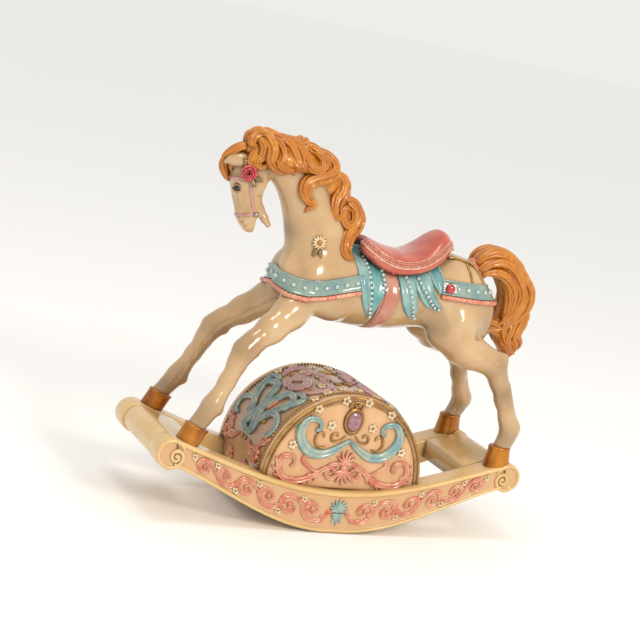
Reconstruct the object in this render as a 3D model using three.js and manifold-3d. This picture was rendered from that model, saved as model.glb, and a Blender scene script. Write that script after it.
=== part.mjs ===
// A cast-resin carousel rocking horse about 210 mm long, standing on a half-drum music box
// that rests on two scrolled rockers.
// Millimetres, +Z up, the horse faces -X, its left side is -Y. The origin is under the middle
// of the object's box, at the height of the table.
import * as THREE from "three";
import { mergeVertices } from "three/addons/utils/BufferGeometryUtils.js";
import Module from "manifold-3d";

// ---------------------------------------------------------------- driving dimensions
const GAP = 0.3;                 // clearance between neighbouring pieces
const BOX_SHIFT = -2.29;         // moves the rockers' middle so that the whole box is centred
const ROCKER_OUTER_Y = 35.75;    // outer faces of the rockers
const ROCKER_THICKNESS = 13.65;
const ROCKER_INNER_Y = ROCKER_OUTER_Y - ROCKER_THICKNESS;
const SCROLL_RADIUS = 8;
const SCROLL_X = 97;             // scroll centres, fore and aft
const SCROLL_Z = 36.4;
const FLAT_DEPTH = 0.33;         // depth shaved off the bottoms, which leaves the flats to stand on
const BAR_START_X = 76;          // inner edge of each cross bar
const BAR_DEPTH = 11;
const DRUM_RADIUS = 46;
const DRUM_CENTRE_Z = 27.5;
const DRUM_WALL = 2.5;
const DRUM_FACE_Y = 30.7;        // outer faces of the drum's side panels
const PANEL_THICKNESS = 3;
const DRUM_BOTTOM_Z = 14.3;
const BASE_PLATE_Z = 12;
const BASE_PLATE_THICKNESS = 2;
const CAMEO_Z = 60;              // centre of the cabochon on each side panel
const CAMEO_HALF = [4, 5.2];     // half width and half height of the cabochon
const BAND_THICKNESS = 1.6;      // harness bands
const FLAP_THICKNESS = 1.5;
const MOVEMENT_Z = DRUM_BOTTOM_Z;
const KEY_X = -14;               // vertical axis of key, arbor and drive wheel
const WHEEL_TEETH = 24;
const PINION_LEAVES = 8; 
const END_GEAR_TEETH = 24;
const IDLER_LEAVES = 8;
const WORM_WHEEL_TEETH = 12;
const WHEEL_Z = 29;
const CYLINDER_Z = 34.6;         // height of the pinned cylinder's axis
const CYLINDER_RADIUS = 6.5;
const PIN_COUNT = 18;              // pins on the cylinder, one for each tooth of the comb
const IDLER_Y = 9.8;             // axis of the wheel between cylinder and governor
const FAN_X = 14;                // vertical axis of the governor
const FAN_Y = IDLER_Y + 4.7;

// Horse: stations along each limb, front to back or top to bottom, as
// [x, y, z, half width across, half depth in the plane of the limb].
const TORSO = [
  [-51.2, 0, 127, 2, 2], [-49.5, 0, 127, 9.5, 9], [-44, 0, 127, 14.5, 14], [-35, 0, 127.5, 17.2, 18],
  [-20, 0, 125.5, 18.8, 20], [0, 0, 122.5, 19.5, 19], [20, 0, 122, 19.5, 18.5],
  [36, 0, 125.5, 19, 19.5], [52, 0, 128, 19, 21.5], [65, 0, 127, 17, 19.5],
  [74, 0, 124.5, 11.5, 14.5], [78.5, 0, 123, 6, 8], [79.8, 0, 123, 1.5, 2],
];
const NECK = [
  [-25, 0, 130, 14.5, 19], [-28, 0, 144, 12.8, 18], [-33.5, 0, 157, 10.4, 15],
  [-41, 0, 169, 9, 12.8], [-51, 0, 178, 8.5, 11], [-61, 0, 182, 8, 9], [-69, 0, 182, 4, 5],
];
const HEAD = [
  [-66, 0, 188.5, 3, 4], [-68.5, 0, 183.5, 7, 8], [-70.5, 0, 177, 8.8, 10.5], [-70.5, 0, 170, 8.4, 10.2],
  [-69.5, 0, 163, 6.6, 8.2], [-67.8, 0, 156, 5.3, 6.8], [-66, 0, 150, 5.1, 6], [-64.8, 0, 146.5, 4.4, 4.4],
  [-64.3, 0, 145.2, 1.8, 1.8],
];
const JAW = [[-65, 0, 165, 3.5, 4], [-61.5, 0, 158, 3.6, 3.4], [-58, 0, 152.5, 3, 2.4], [-56, 0, 150.4, 1.6, 1.2]];
const FRONT_LEG = [
  [-30, 10, 120, 4, 6], [-35, 12.5, 115, 6.6, 11], [-45, 17, 106, 7.2, 9.8], [-55, 21, 97.5, 6.4, 7.4],
  [-64, 23, 91, 6, 6.8], [-68.5, 24.5, 81, 4.7, 5.2], [-73, 26, 70, 4.3, 4.8], [-77.5, 27, 61, 5, 5.8],
  [-81.6, 28, 54.6, 4.6, 5], [-84, 28.4, 50.9, 4.6, 5],
];
const REAR_LEG = [
  [52, 8, 132, 4, 8], [54, 12, 121, 9.4, 16], [57, 14.5, 110, 9.8, 15.5], [64, 18, 102, 8.6, 11],
  [73.5, 20.5, 98, 7, 8], [81.5, 22.5, 94.5, 6, 7.4], [86, 24.3, 84, 4.8, 5.4], [91, 26.2, 73, 4.5, 4.9],
  [95.6, 27.6, 63, 5.1, 5.9], [94.6, 28.4, 57, 4.7, 5.2], [93, 28.7, 53.8, 4.7, 5.2],
];
const FRONT_HOOF = [[-84.3, 28.4, 50.4, 5.4, 5.9], [-89, 29, 38, 7, 8]];
const REAR_HOOF = [[92.7, 28.7, 53.2, 5.4, 5.9], [91.4, 29, 37, 7, 8]];
const TAIL = [
  [68, 0, 141, 4.4, 4.4], [73.5, 0, 148, 5.2, 5], [81, 0, 151, 6.4, 5.2], [91, 0, 147, 7.6, 7],
  [98.5, 0, 137, 8.4, 8.4], [101, 0, 125, 8.6, 8.6], [100, 0, 113, 8.2, 8.4], [101, 0, 103, 6.4, 6.6],
  [103.5, 0, 96, 2, 2],
];
const TAIL_LOCK = [[100, 0, 120, 5, 5], [93, 0, 111, 5.5, 4.5], [85, 0, 109.5, 4.5, 3.6], [79.5, 0, 112, 1.5, 1.5]];
const TAIL_WRAP = [[70.6, 0, 144.6, 7.2, 7.2], [76.4, 0, 149.4, 8, 7.6]];
const MANE = [
  [-73.5, 0, 191, 3, 3], [-68, 0, 191.8, 8.5, 7], [-57, 0, 187.5, 12, 11], [-44, 0, 182.5, 14, 14.5],
  [-31, 0, 173, 15, 15.5], [-20, 0, 160.8, 15.5, 13.6], [-9, 0, 149.5, 14.5, 11.6], [-6, 0, 146.5, 5, 4],
];
const FORELOCK = [[-71.5, 0, 190.5, 5, 3.5], [-79, 0, 188, 7.5, 4.4], [-85.4, 0, 182, 6.5, 3.6], [-87, 0, 176.5, 2, 1.5]];
const EAR = [[-70, 5.5, 186.5, 2.6, 3.6], [-77, 8.6, 185.5, 2.4, 3.2], [-83.5, 9.4, 181.5, 0.8, 1]];
const SADDLE = [
  [-8, 0, 128, 3, 22.6], [-1, 0, 128, 12, 22.8], [7, 0, 128, 16, 20], [22, 0, 128, 17, 18.6],
  [34, 0, 128, 17, 22.6], [39, 0, 128, 16, 29], [43, 0, 128, 14.5, 32.3], [48.5, 0, 128, 10.5, 29.6],
  [51.4, 0, 128, 3, 23],
];
// Edges in side view, as [x, z], shared by the pieces that meet along them.
const SADDLE_EDGE = [[-13, 153], [-6.7, 149.2], [1, 142.9], [13, 137.6], [27, 139.3], [37, 143.2], [44, 146], [54, 147]];
const FLAP_EDGE = [
  [44, 133], [43, 119.5], [37, 117], [33, 110.5], [28, 113.5], [24, 108.5], [17, 110.5], [13, 119], [9, 122.5],
  [6, 119], [3, 110.5], [-5, 119], [-9, 131],
];
const BREAST_EDGE = [[-62, 131.5], [-49, 127.4], [-32, 128.3], [-6.5, 134], [-6.5, 121], [-30, 114.5], [-47, 115], [-62, 120]];
const REAR_EDGE = [[47, 138], [86, 136.5], [86, 123.5], [47, 124]];
const NOSEBAND_EDGE = [[-82, 152.6], [-54, 152.6], [-54, 155.2], [-82, 155.2]];
const CHEEK_EDGE = [[-66.6, 153.5], [-64.2, 153.5], [-63.8, 177], [-66.2, 177]];
const BROWBAND_EDGE = [[-84, 171.5], [-60, 175.5], [-60, 178], [-84, 174]];

const GLOSS = 0.28;
const COLOURS = {
  ivory: 0xdcc7a0, hair: 0xcd7d28, saddle: 0xd7695f, blue: 0x78aab4, pink: 0xdc7d82, bronze: 0xaf641e,
  cream: 0xf0cd91, field: 0xe1af82, taupe: 0x8c7868, rose: 0xeb4150, jewel: 0xb91e19, amethyst: 0x965f69,
  gold: 0xc8963c, brass: 0xc8aa5a, steel: 0xb4b6b8, white: 0xf5f0e1,
};

const wasm = await Module();
wasm.setup();
const model = new THREE.Group();
const figure = new THREE.Group();
figure.position.x = BOX_SHIFT;
model.add(figure);

// ---------------------------------------------------------------- solids
function solid(geometry) {
  const bare = geometry.clone();
  for (const name of ["normal", "uv"]) bare.deleteAttribute(name);
  const merged = mergeVertices(bare, 1e-4);
  const mesh = new wasm.Mesh({
    numProp: 3,
    vertProperties: merged.attributes.position.array,
    triVerts: merged.index.array,
  });
  return new wasm.Manifold(mesh);
}

function addPiece(name, shape, colour, metalness = 0, roughness = GLOSS) {
  const mesh = shape.getMesh();
  const geometry = new THREE.BufferGeometry();
  geometry.setAttribute("position", new THREE.BufferAttribute(mesh.vertProperties, 3));
  geometry.setIndex(new THREE.BufferAttribute(mesh.triVerts, 1));
  geometry.computeVertexNormals();
  const material = new THREE.MeshStandardMaterial({ color: COLOURS[colour], roughness, metalness });
  const piece = new THREE.Mesh(geometry, material);
  piece.name = name;
  figure.add(piece);
}

// A smooth limb through stations, with a ring at each station and between them. It is mirrored
// to one side, and made thicker all round by grow, square to its surface.
function limb(stations, sides, ringsEach, grow = 0, side = 1) {
  const centre = new THREE.CatmullRomCurve3(stations.map(([x, y, z]) => new THREE.Vector3(x, y * side, z)));
  const sizes = new THREE.CatmullRomCurve3(stations.map(([, , , across, deep]) => new THREE.Vector3(across, deep, 0)));
  const geometry = new THREE.CylinderGeometry(1, 1, 1, sides, ringsEach * (stations.length - 1));
  const place = geometry.attributes.position;
  const step = 0.01;
  for (let i = 0; i < place.count; i += 1) {
    const along = THREE.MathUtils.clamp(place.getY(i) + 0.5, 0, 1);
    const [before, after] = [Math.max(0, along - step), Math.min(1, along + step)];
    const tangent = centre.getTangent(along);
    const across = new THREE.Vector3(0, 1, 0).addScaledVector(tangent, -tangent.y).normalize();
    const deep = new THREE.Vector3().crossVectors(across, tangent);
    const size = sizes.getPoint(along);
    const widening = sizes.getPoint(after).sub(sizes.getPoint(before));
    const slope = (widening.x + widening.y) / 2 / centre.getPoint(after).distanceTo(centre.getPoint(before));
    const lean = 1 / Math.hypot(1, slope);
    const end = along === 0 ? -1 : along === 1 ? 1 : -slope * lean;
    const point = centre.getPoint(along);
    point.addScaledVector(across, place.getX(i) * (size.x + grow * lean));
    point.addScaledVector(deep, place.getZ(i) * (size.y + grow * lean));
    point.addScaledVector(tangent, grow * end);
    place.setXYZ(i, point.x, point.y, point.z);
  }
  return solid(geometry);
}

// An outline in the XZ plane made a plate between two y values.
function plate(outline, yLow, yHigh) {
  const drawn = outline instanceof THREE.Shape;
  const shape = drawn ? outline : new THREE.Shape(outline.map(([x, z]) => new THREE.Vector2(x, z)));
  const geometry = new THREE.ExtrudeGeometry(shape, { depth: yHigh - yLow, bevelEnabled: false, curveSegments: 12 });
  geometry.rotateX(Math.PI / 2);
  geometry.translate(0, yHigh, 0);
  return solid(geometry);
}

function block(x, y, z) {
  const geometry = new THREE.BoxGeometry(x[1] - x[0], y[1] - y[0], z[1] - z[0]);
  geometry.translate((x[0] + x[1]) / 2, (y[0] + y[1]) / 2, (z[0] + z[1]) / 2);
  return solid(geometry);
}

// A round bar about a line parallel to one axis; at holds its middle.
function rod(axis, radius, length, at, sides = 16) {
  const geometry = new THREE.CylinderGeometry(radius, radius, length, sides);
  if (axis === "x") geometry.rotateZ(-Math.PI / 2);
  if (axis === "z") geometry.rotateX(Math.PI / 2);
  geometry.translate(at[0], at[1], at[2]);
  return solid(geometry);
}

function joined(parts) {
  return parts.reduce((whole, part) => whole.add(part));
}

function cutBy(shape, others) {
  return others.reduce((left, other) => left.subtract(other), shape);
}

// ---------------------------------------------------------------- rockers and cross bars
const topCurve = (x) => 22.5 + 32.2 * (x / 100) ** 2 - 9.3 * (x / 100) ** 4;
const bottomCurve = (x) => Math.max(0, 52.1 * (x / 100) ** 2 - 20.3 * (x / 100) ** 4 - FLAT_DEPTH);

function curvePoints(curve, from, to, count) {
  return Array.from({ length: count + 1 }, (_, i) => {
    const x = from + ((to - from) * i) / count;
    return [x, curve(x)];
  });
}

function rocker(yLow, yHigh, grow = 0) {
  const bottomEnd = SCROLL_X - 5;
  const outline = [
    ...curvePoints((x) => bottomCurve(x) - grow, -bottomEnd, bottomEnd, 26),
    ...curvePoints((x) => topCurve(x) + grow, SCROLL_X, -SCROLL_X, 20),
  ];
  const middle = (yLow + yHigh) / 2;
  const scrolls = [-1, 1].map((end) =>
    rod("y", SCROLL_RADIUS + grow, yHigh - yLow, [end * SCROLL_X, middle, SCROLL_Z], 20));
  return joined([plate(outline, yLow, yHigh), ...scrolls]);
}

function crossBar(end) {
  const inset = 0.6;
  const width = ROCKER_INNER_Y - GAP;
  const outline = [
    ...curvePoints((x) => topCurve(x) - inset, end * BAR_START_X, end * SCROLL_X, 6),
    ...curvePoints((x) => topCurve(x) - BAR_DEPTH, end * SCROLL_X, end * BAR_START_X, 6),
  ];
  const nose = rod("y", SCROLL_RADIUS - inset, 2 * width, [end * SCROLL_X, 0, SCROLL_Z], 24);
  return plate(end > 0 ? outline.reverse() : outline, -width, width).add(nose);
}

const rockerSpans = { left: [-ROCKER_OUTER_Y, -ROCKER_INNER_Y], right: [ROCKER_INNER_Y, ROCKER_OUTER_Y] };
const grownRockers = [];
for (const [side, [low, high]] of Object.entries(rockerSpans)) {
  addPiece(`rocker_${side}`, rocker(low, high), "cream");
  grownRockers.push(rocker(low - GAP, high + GAP, GAP));
}
addPiece("cross_bar_front", crossBar(-1), "cream");
addPiece("cross_bar_rear", crossBar(1), "cream");

// ---------------------------------------------------------------- the drum that hides the movement
function archOutline(radius, bottom) {
  const shape = new THREE.Shape();
  shape.moveTo(radius, bottom);
  shape.lineTo(radius, DRUM_CENTRE_Z);
  shape.absarc(0, DRUM_CENTRE_Z, radius, 0, Math.PI, false);
  shape.lineTo(-radius, bottom);
  return shape;
}

const screwPlaces = [[-39.5, -16], [-39.5, 16], [39.5, -16], [39.5, 16]];

function baseScrew([x, y], grow = 0) {
  const head = rod("z", 3 + grow, 1.4 + 2 * grow, [x, y, BASE_PLATE_Z - GAP - 0.7], 14);
  return head.add(rod("z", 1.2 + grow, 11 + 2 * grow, [x, y, BASE_PLATE_Z - GAP + 4.8], 10));
}

function drumShell() {
  const half = DRUM_FACE_Y - PANEL_THICKNESS - GAP;
  const outer = plate(archOutline(DRUM_RADIUS, DRUM_BOTTOM_Z), -half, half);
  const inner = plate(archOutline(DRUM_RADIUS - DRUM_WALL, DRUM_BOTTOM_Z - 1), -half - 1, half + 1);
  const bossHeight = 10;
  const bosses = screwPlaces.map(([x, y]) => rod("z", 4.4, bossHeight, [x, y, DRUM_BOTTOM_Z + bossHeight / 2], 14));
  const screwHoles = screwPlaces.map((place) => baseScrew(place, GAP));
  return cutBy(joined([outer.subtract(inner), ...bosses]), [...screwHoles, ...grownRockers]);
}

function drumPanel(sign) {
  const faces = [sign * DRUM_FACE_Y, sign * (DRUM_FACE_Y - PANEL_THICKNESS)].sort((a, b) => a - b);
  return cutBy(plate(archOutline(DRUM_RADIUS, DRUM_CENTRE_Z - 6), faces[0], faces[1]), grownRockers);
}

// A ring or a stone of the cameo: an oval about its middle on the panel's face.
function oval(sign, grow, yNear, yFar) {
  const radius = 1;
  const depth = yFar - yNear;
  const geometry = new THREE.CylinderGeometry(radius, radius, depth, 24);
  geometry.scale(CAMEO_HALF[0] + grow, 1, CAMEO_HALF[1] + grow);
  geometry.translate(0, sign * (yNear + yFar) / 2, CAMEO_Z);
  return solid(geometry);
}

addPiece("drum_shell", drumShell(), "taupe");
const sides = { left: -1, right: 1 };
const basePlate = block([-DRUM_RADIUS, DRUM_RADIUS], [-ROCKER_INNER_Y + GAP, ROCKER_INNER_Y - GAP],
  [BASE_PLATE_Z, BASE_PLATE_Z + BASE_PLATE_THICKNESS]);
const keyHole = rod("z", 2.4, 12, [KEY_X, 0, BASE_PLATE_Z]);
addPiece("base_plate", cutBy(basePlate, [keyHole, ...screwPlaces.map((place) => baseScrew(place, GAP))]), "cream", 0, 0.6);
screwPlaces.forEach((place, i) => addPiece(`base_screw_${i + 1}`, baseScrew(place), "steel", 1, 0.4));
for (const [side, sign] of Object.entries(sides)) {
  addPiece(`drum_panel_${side}`, drumPanel(sign), "field");
  const face = DRUM_FACE_Y + GAP;
  addPiece(`bezel_${side}`, oval(sign, 1.5, face, face + 1.7).subtract(oval(sign, GAP, face - 1, face + 3)), "gold", 1);
  const stone = new THREE.SphereGeometry(1, 16, 8);
  stone.scale(CAMEO_HALF[0], 2.6, CAMEO_HALF[1]);
  stone.translate(0, sign * face, CAMEO_Z);
  const outside = block([-9, 9], sign < 0 ? [-40, -face] : [face, 40], [CAMEO_Z - 9, CAMEO_Z + 9]);
  addPiece(`cabochon_${side}`, solid(stone).intersect(outside), "amethyst");
}

// ---------------------------------------------------------------- musical movement inside the drum
function gearOutline(radius, teeth, depth) {
  const points = [];
  for (let i = 0; i < teeth; i += 1) {
    [[0, radius], [0.4, radius], [0.5, radius - depth], [0.9, radius - depth]].forEach(([part, r]) => {
      const angle = ((i + part) / teeth) * 2 * Math.PI;
      points.push([r * Math.cos(angle), r * Math.sin(angle)]);
    });
  }
  return points;
}

function gear(axis, radius, teeth, depth, thickness, at) {
  const shape = new THREE.Shape(gearOutline(radius, teeth, depth).map(([x, y]) => new THREE.Vector2(x, y)));
  const geometry = new THREE.ExtrudeGeometry(shape, { depth: thickness, bevelEnabled: false });
  geometry.translate(0, 0, -thickness / 2);
  if (axis === "x") geometry.rotateY(Math.PI / 2);
  geometry.translate(at[0], at[1], at[2]);
  return solid(geometry);
}

function mainspring() {
  const turns = 4.5;
  const steps = 48;
  const spiral = (from, inset) => Array.from({ length: steps + 1 }, (_, i) => {
    const part = from < 0 ? 1 - i / steps : i / steps;
    const angle = part * turns * 2 * Math.PI;
    const radius = 3.2 + 6.4 * part + inset;
    return new THREE.Vector2(radius * Math.cos(angle), radius * Math.sin(angle));
  });
  const shape = new THREE.Shape([...spiral(1, 0.4), ...spiral(-1, 0)]);
  const geometry = new THREE.ExtrudeGeometry(shape, { depth: 9, bevelEnabled: false });
  geometry.translate(KEY_X, 0, MOVEMENT_Z + 4);
  return solid(geometry);
}

function springBarrel() {
  const floor = MOVEMENT_Z + 2.6;
  const profile = [[2.4, floor], [11.5, floor], [11.5, WHEEL_Z - GAP], [10.4, WHEEL_Z - GAP],
    [10.4, floor + 1], [2.4, floor + 1]];
  const geometry = new THREE.LatheGeometry([...profile, profile[0]].map(([r, z]) => new THREE.Vector2(r, z)), 24);
  geometry.rotateX(Math.PI / 2);
  geometry.translate(KEY_X, 0, 0);
  return solid(geometry);
}

function driveWheel() {
  const disc = rod("z", 12, 1.4, [KEY_X, 0, WHEEL_Z + 0.7], 32);
  const teeth = Array.from({ length: WHEEL_TEETH }, (_, i) => {
    const tooth = new THREE.BoxGeometry(2.4, 1.1, 1.4);
    tooth.translate(10.6, 0, WHEEL_Z + 1.9);
    tooth.rotateZ((i / WHEEL_TEETH) * 2 * Math.PI);
    tooth.translate(KEY_X, 0, 0);
    return solid(tooth);
  });
  const arborBottom = 6.5;
  const arbor = rod("z", 1.6, WHEEL_Z - arborBottom + 0.5, [KEY_X, 0, (WHEEL_Z + arborBottom + 0.5) / 2], 12);
  return joined([disc, arbor, ...teeth]);
}

function butterflyKey() {
  const lobes = [-1, 1].map((end) => {
    const lobe = rod("y", 3.6, 1.8, [end * 5.4, 0, 6.4], 20);
    return lobe.subtract(rod("y", 1.3, 4, [end * 5.9, 0, 6.4], 12));
  });
  const web = block([-3, 3], [-0.9, 0.9], [3.4, 9.2]);
  const hub = rod("z", 3, 6.2, [0, 0, 8.1], 18);
  const socket = rod("z", 1.6 + GAP, 5.2, [0, 0, 8.8], 14);
  return joined([web, ...lobes, hub]).subtract(socket).translate([KEY_X, 0, 0]);
}

function pinnedCylinder() {
  const barrel = rod("x", CYLINDER_RADIUS, 18, [9.5, 0, CYLINDER_Z], 24);
  const shaft = rod("x", 1, 30.4, [9.9, 0, CYLINDER_Z], 12);
  const pinion = gear("x", 2.6, PINION_LEAVES, 0.8, 3, [-3.6, 0, CYLINDER_Z]);
  const endGear = gear("x", 7.1, END_GEAR_TEETH, 0.9, 1.8, [20, 0, CYLINDER_Z]);
  const pins = Array.from({ length: PIN_COUNT }, (_, i) => {
    const pin = new THREE.BoxGeometry(0.5, 0.5, 0.9);
    pin.translate(1.3 + i * 0.95, 0, CYLINDER_RADIUS + 0.25);
    pin.rotateX(i * 2.4);
    pin.translate(0, 0, CYLINDER_Z);
    return solid(pin);
  });
  return joined([barrel, shaft, pinion, endGear, ...pins]);
}

function comb() {
  const pitch = 0.95;
  const points = [[0, -19.5], [0.4 + 18 * pitch + 0.4, -19.5]];
  for (let i = 17; i >= 0; i -= 1) {
    const x = 0.9 + i * pitch;
    points.push([x + 0.6, -12.5], [x + 0.6, -7.6], [x, -7.6], [x, -12.5]);
  }
  const shape = new THREE.Shape(points.map(([x, y]) => new THREE.Vector2(x, y)));
  const geometry = new THREE.ExtrudeGeometry(shape, { depth: 1, bevelEnabled: false });
  geometry.translate(0, 0, CYLINDER_Z - 0.5);
  return solid(geometry);
}

function cylinderFrame() {
  const low = MOVEMENT_Z + 2.3;
  const near = block([-1.6, -0.2], [-4, 4], [low, CYLINDER_Z + 3.6]);
  const far = block([22.4, 23.8], [-4, IDLER_Y + 3], [low, CYLINDER_Z + 3.6]);
  const foot = block([-1.6, 23.8], [-4, 4], [low, low + 1.6]);
  const holes = [rod("x", 1.3, 60, [10, 0, CYLINDER_Z], 12), rod("x", 1.1, 6, [23, IDLER_Y, CYLINDER_Z], 12)];
  return cutBy(joined([near, far, foot]), holes);
}

function idlerWheel() {
  const shaft = rod("x", 0.8, 13, [17.2, IDLER_Y, CYLINDER_Z], 10);
  const leaves = gear("x", 2.4, IDLER_LEAVES, 0.8, 1.8, [20, IDLER_Y, CYLINDER_Z]);
  const wormWheel = gear("x", 3, WORM_WHEEL_TEETH, 0.6, 1.4, [FAN_X, IDLER_Y, CYLINDER_Z]);
  return joined([shaft, leaves, wormWheel]);
}

function governorFan() {
  const shaft = rod("z", 0.7, 24, [FAN_X, FAN_Y, 38], 10);
  const worm = rod("z", 1.4, 8, [FAN_X, FAN_Y, CYLINDER_Z], 12);
  const vane = block([FAN_X - 4.6, FAN_X + 4.6], [FAN_Y - 0.4, FAN_Y + 0.4], [43.2, 49.4]);
  return joined([shaft, worm, vane]);
}

function governorFrame() {
  const low = MOVEMENT_Z + 2.3;
  const post = block([FAN_X - 3, FAN_X + 3], [18.8, 20.6], [low, 42.6]);
  const arms = [26.4, 40.9].map((z) => block([FAN_X - 2, FAN_X + 2], [FAN_Y - 1.8, 19.2], [z, z + 1.4]));
  const foot = block([FAN_X - 3, FAN_X + 3], [15, 20.6], [low, low + 1.4]);
  const ear = block([FAN_X - 4.9, FAN_X - 2.6], [IDLER_Y - 2, 20.6], [CYLINDER_Z - 2, CYLINDER_Z + 2]);
  const holes = [rod("z", 1, 40, [FAN_X, FAN_Y, 40], 12), rod("x", 1.1, 6, [FAN_X - 3.5, IDLER_Y, CYLINDER_Z], 12)];
  return cutBy(joined([post, ...arms, foot, ear]), holes);
}

const bed = block([-27, 27], [-21, 21], [MOVEMENT_Z, MOVEMENT_Z + 2]);
const bedScrewPlaces = [[-24, -18], [24, 18]];
const bedScrew = ([x, y], grow = 0) => rod("z", 2.2 + grow, 1.2 + grow, [x, y, MOVEMENT_Z + 2.9], 12)
  .add(rod("z", 1 + grow, 3, [x, y, MOVEMENT_Z + 1.3], 10));
const bedHoles = [rod("z", 2.4, 12, [KEY_X, 0, MOVEMENT_Z]), ...bedScrewPlaces.map((place) => bedScrew(place, GAP))];
addPiece("movement_bedplate", cutBy(bed, bedHoles), "brass", 1, 0.35);
bedScrewPlaces.forEach((place, i) => addPiece(`bed_screw_${i + 1}`, bedScrew(place), "steel", 1, 0.4));
addPiece("spring_barrel", springBarrel(), "steel", 1, 0.35);
addPiece("mainspring", mainspring(), "steel", 1, 0.3);
addPiece("drive_wheel", driveWheel(), "brass", 1, 0.35);
addPiece("winding_key", butterflyKey(), "brass", 1, 0.3);
addPiece("pinned_cylinder", pinnedCylinder(), "brass", 1, 0.35);
addPiece("cylinder_frame", cylinderFrame(), "steel", 1, 0.4);
addPiece("comb", comb(), "steel", 1, 0.3);
addPiece("comb_block", block([0, 18.3], [-19.5, -13.2], [MOVEMENT_Z + 2.3, CYLINDER_Z - 0.8]), "steel", 1, 0.5);
addPiece("idler_wheel", idlerWheel(), "brass", 1, 0.35);
addPiece("governor_fan", governorFan(), "steel", 1, 0.4);
addPiece("governor_frame", governorFrame(), "steel", 1, 0.4);

// ---------------------------------------------------------------- the horse
const torsoSkin = (grow) => limb(TORSO, 18, 1, grow);
const chestSkin = (grow) => torsoSkin(grow).add(limb(NECK, 14, 1, grow));
const headSkin = (grow) => limb(HEAD, 12, 1, grow);

function horseBody(grow = 0) {
  return joined([
    torsoSkin(grow), limb(NECK, 14, 1, grow), headSkin(grow), limb(JAW, 8, 1, grow),
  ]);
}

const grownBody = horseBody(GAP);
addPiece("horse_body", horseBody(), "ivory");
const legs = { front: [FRONT_LEG, FRONT_HOOF], rear: [REAR_LEG, REAR_HOOF] };
const grownLegs = [];
for (const [end, [legStations, hoofStations]] of Object.entries(legs)) {
  for (const [side, sign] of Object.entries(sides)) {
    const grownLeg = limb(legStations, 10, 1, GAP, sign);
    const hoof = cutBy(limb(hoofStations, 12, 1, 0, sign), [...grownRockers, grownLeg]);
    addPiece(`leg_${end}_${side}`, limb(legStations, 10, 1, 0, sign).subtract(grownBody), "ivory");
    addPiece(`hoof_${end}_${side}`, hoof, "bronze", 0.6, 0.35);
    grownLegs.push(grownLeg);
  }
}

// ---------------------------------------------------------------- hair
function tailHair(grow = 0) {
  return limb(TAIL, 10, 1, grow).add(limb(TAIL_LOCK, 8, 1, grow));
}

const grownMane = limb(MANE, 12, 1, GAP);
const grownForelock = limb(FORELOCK, 10, 1, GAP);
addPiece("mane", limb(MANE, 12, 1).subtract(grownBody), "hair");
addPiece("forelock", cutBy(limb(FORELOCK, 10, 1), [grownBody, grownMane]), "hair");
addPiece("tail", tailHair().subtract(grownBody), "hair");
addPiece("tail_wrap", cutBy(limb(TAIL_WRAP, 12, 1), [tailHair(GAP), grownBody]), "pink");

// ---------------------------------------------------------------- saddle and harness
// The part between two skins wrapped round the horse, cut to an edge seen from the side.
function wrapped(skin, inner, outer, edges, reach = [-40, 40]) {
  const shapes = edges.map((edge) => plate(edge, reach[0], reach[1]));
  return skin(outer).subtract(skin(inner)).intersect(joined(shapes));
}

const bandOut = GAP + BAND_THICKNESS;
const flapIn = bandOut + GAP;
const flapOut = flapIn + FLAP_THICKNESS;
const saddleBlock = (grow) => limb(SADDLE, 14, 1, grow)
  .intersect(plate([...SADDLE_EDGE.map(([x, z]) => [x, z - grow]), [54, 170], [-13, 170]], -30, 30));
const girthEdge = [[4.5, 96], [14, 96], [14, 134], [4.5, 134]];
const flapTop = [...SADDLE_EDGE].filter(([x]) => x > -9 && x < 46).map(([x, z]) => [x, z - 2 * GAP]);

addPiece("saddle", cutBy(saddleBlock(0), [grownBody, grownMane]), "saddle");
addPiece("girth", wrapped(torsoSkin, GAP, bandOut, [girthEdge]), "pink");
addPiece("breast_band", cutBy(wrapped(chestSkin, GAP, bandOut, [BREAST_EDGE]), grownLegs), "blue");
addPiece("breeching_band", cutBy(wrapped(torsoSkin, GAP, bandOut, [REAR_EDGE]), grownLegs), "blue");
const bridle = wrapped(headSkin, GAP, GAP + 1.1, [NOSEBAND_EDGE, CHEEK_EDGE, BROWBAND_EDGE]);
addPiece("bridle", cutBy(bridle, [grownBody, grownMane, grownForelock]), "pink");

function ornament([x, y, z], [halfLong, halfThick, halfTall], cutters) {
  const bead = new THREE.SphereGeometry(1, 10, 6);
  bead.scale(halfLong, halfThick, halfTall);
  bead.translate(x, y, z);
  return cutBy(solid(bead), cutters);
}

for (const [side, sign] of Object.entries(sides)) {
  const reach = sign < 0 ? [-40, -4] : [4, 40];
  const flapEdge = [...FLAP_EDGE, ...flapTop];
  addPiece(`saddle_flap_${side}`, cutBy(wrapped(torsoSkin, flapIn, flapOut, [flapEdge], reach), [...grownLegs, grownMane]), "blue");
  const ear = cutBy(limb(EAR, 8, 1, 0, sign), [grownBody, grownMane, grownForelock]);
  addPiece(`ear_${side}`, ear, "ivory");
  const rose = ornament([-75.5, sign * 10.4, 176.5], [4.4, 2.2, 4.4], [headSkin(GAP + 1.1 + GAP), grownMane]);
  addPiece(`rose_${side}`, rose, "rose");
  addPiece(`bit_stud_${side}`, ornament([-65.4, sign * 7.3, 154], [1.7, 1, 1.7], [headSkin(GAP + 1.1 + GAP)]), "steel", 1);
  addPiece(`neck_daisy_${side}`, ornament([-33, sign * 13, 146.7], [4.2, 1.7, 4.2], [grownBody, grownMane]), "white");
  const jewelCutters = [torsoSkin(flapOut + GAP)];
  addPiece(`harness_jewel_${side}`, ornament([45, sign * 22.6, 132.5], [2.7, 1.6, 2.7], jewelCutters), "jewel");
}

export default model;
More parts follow.
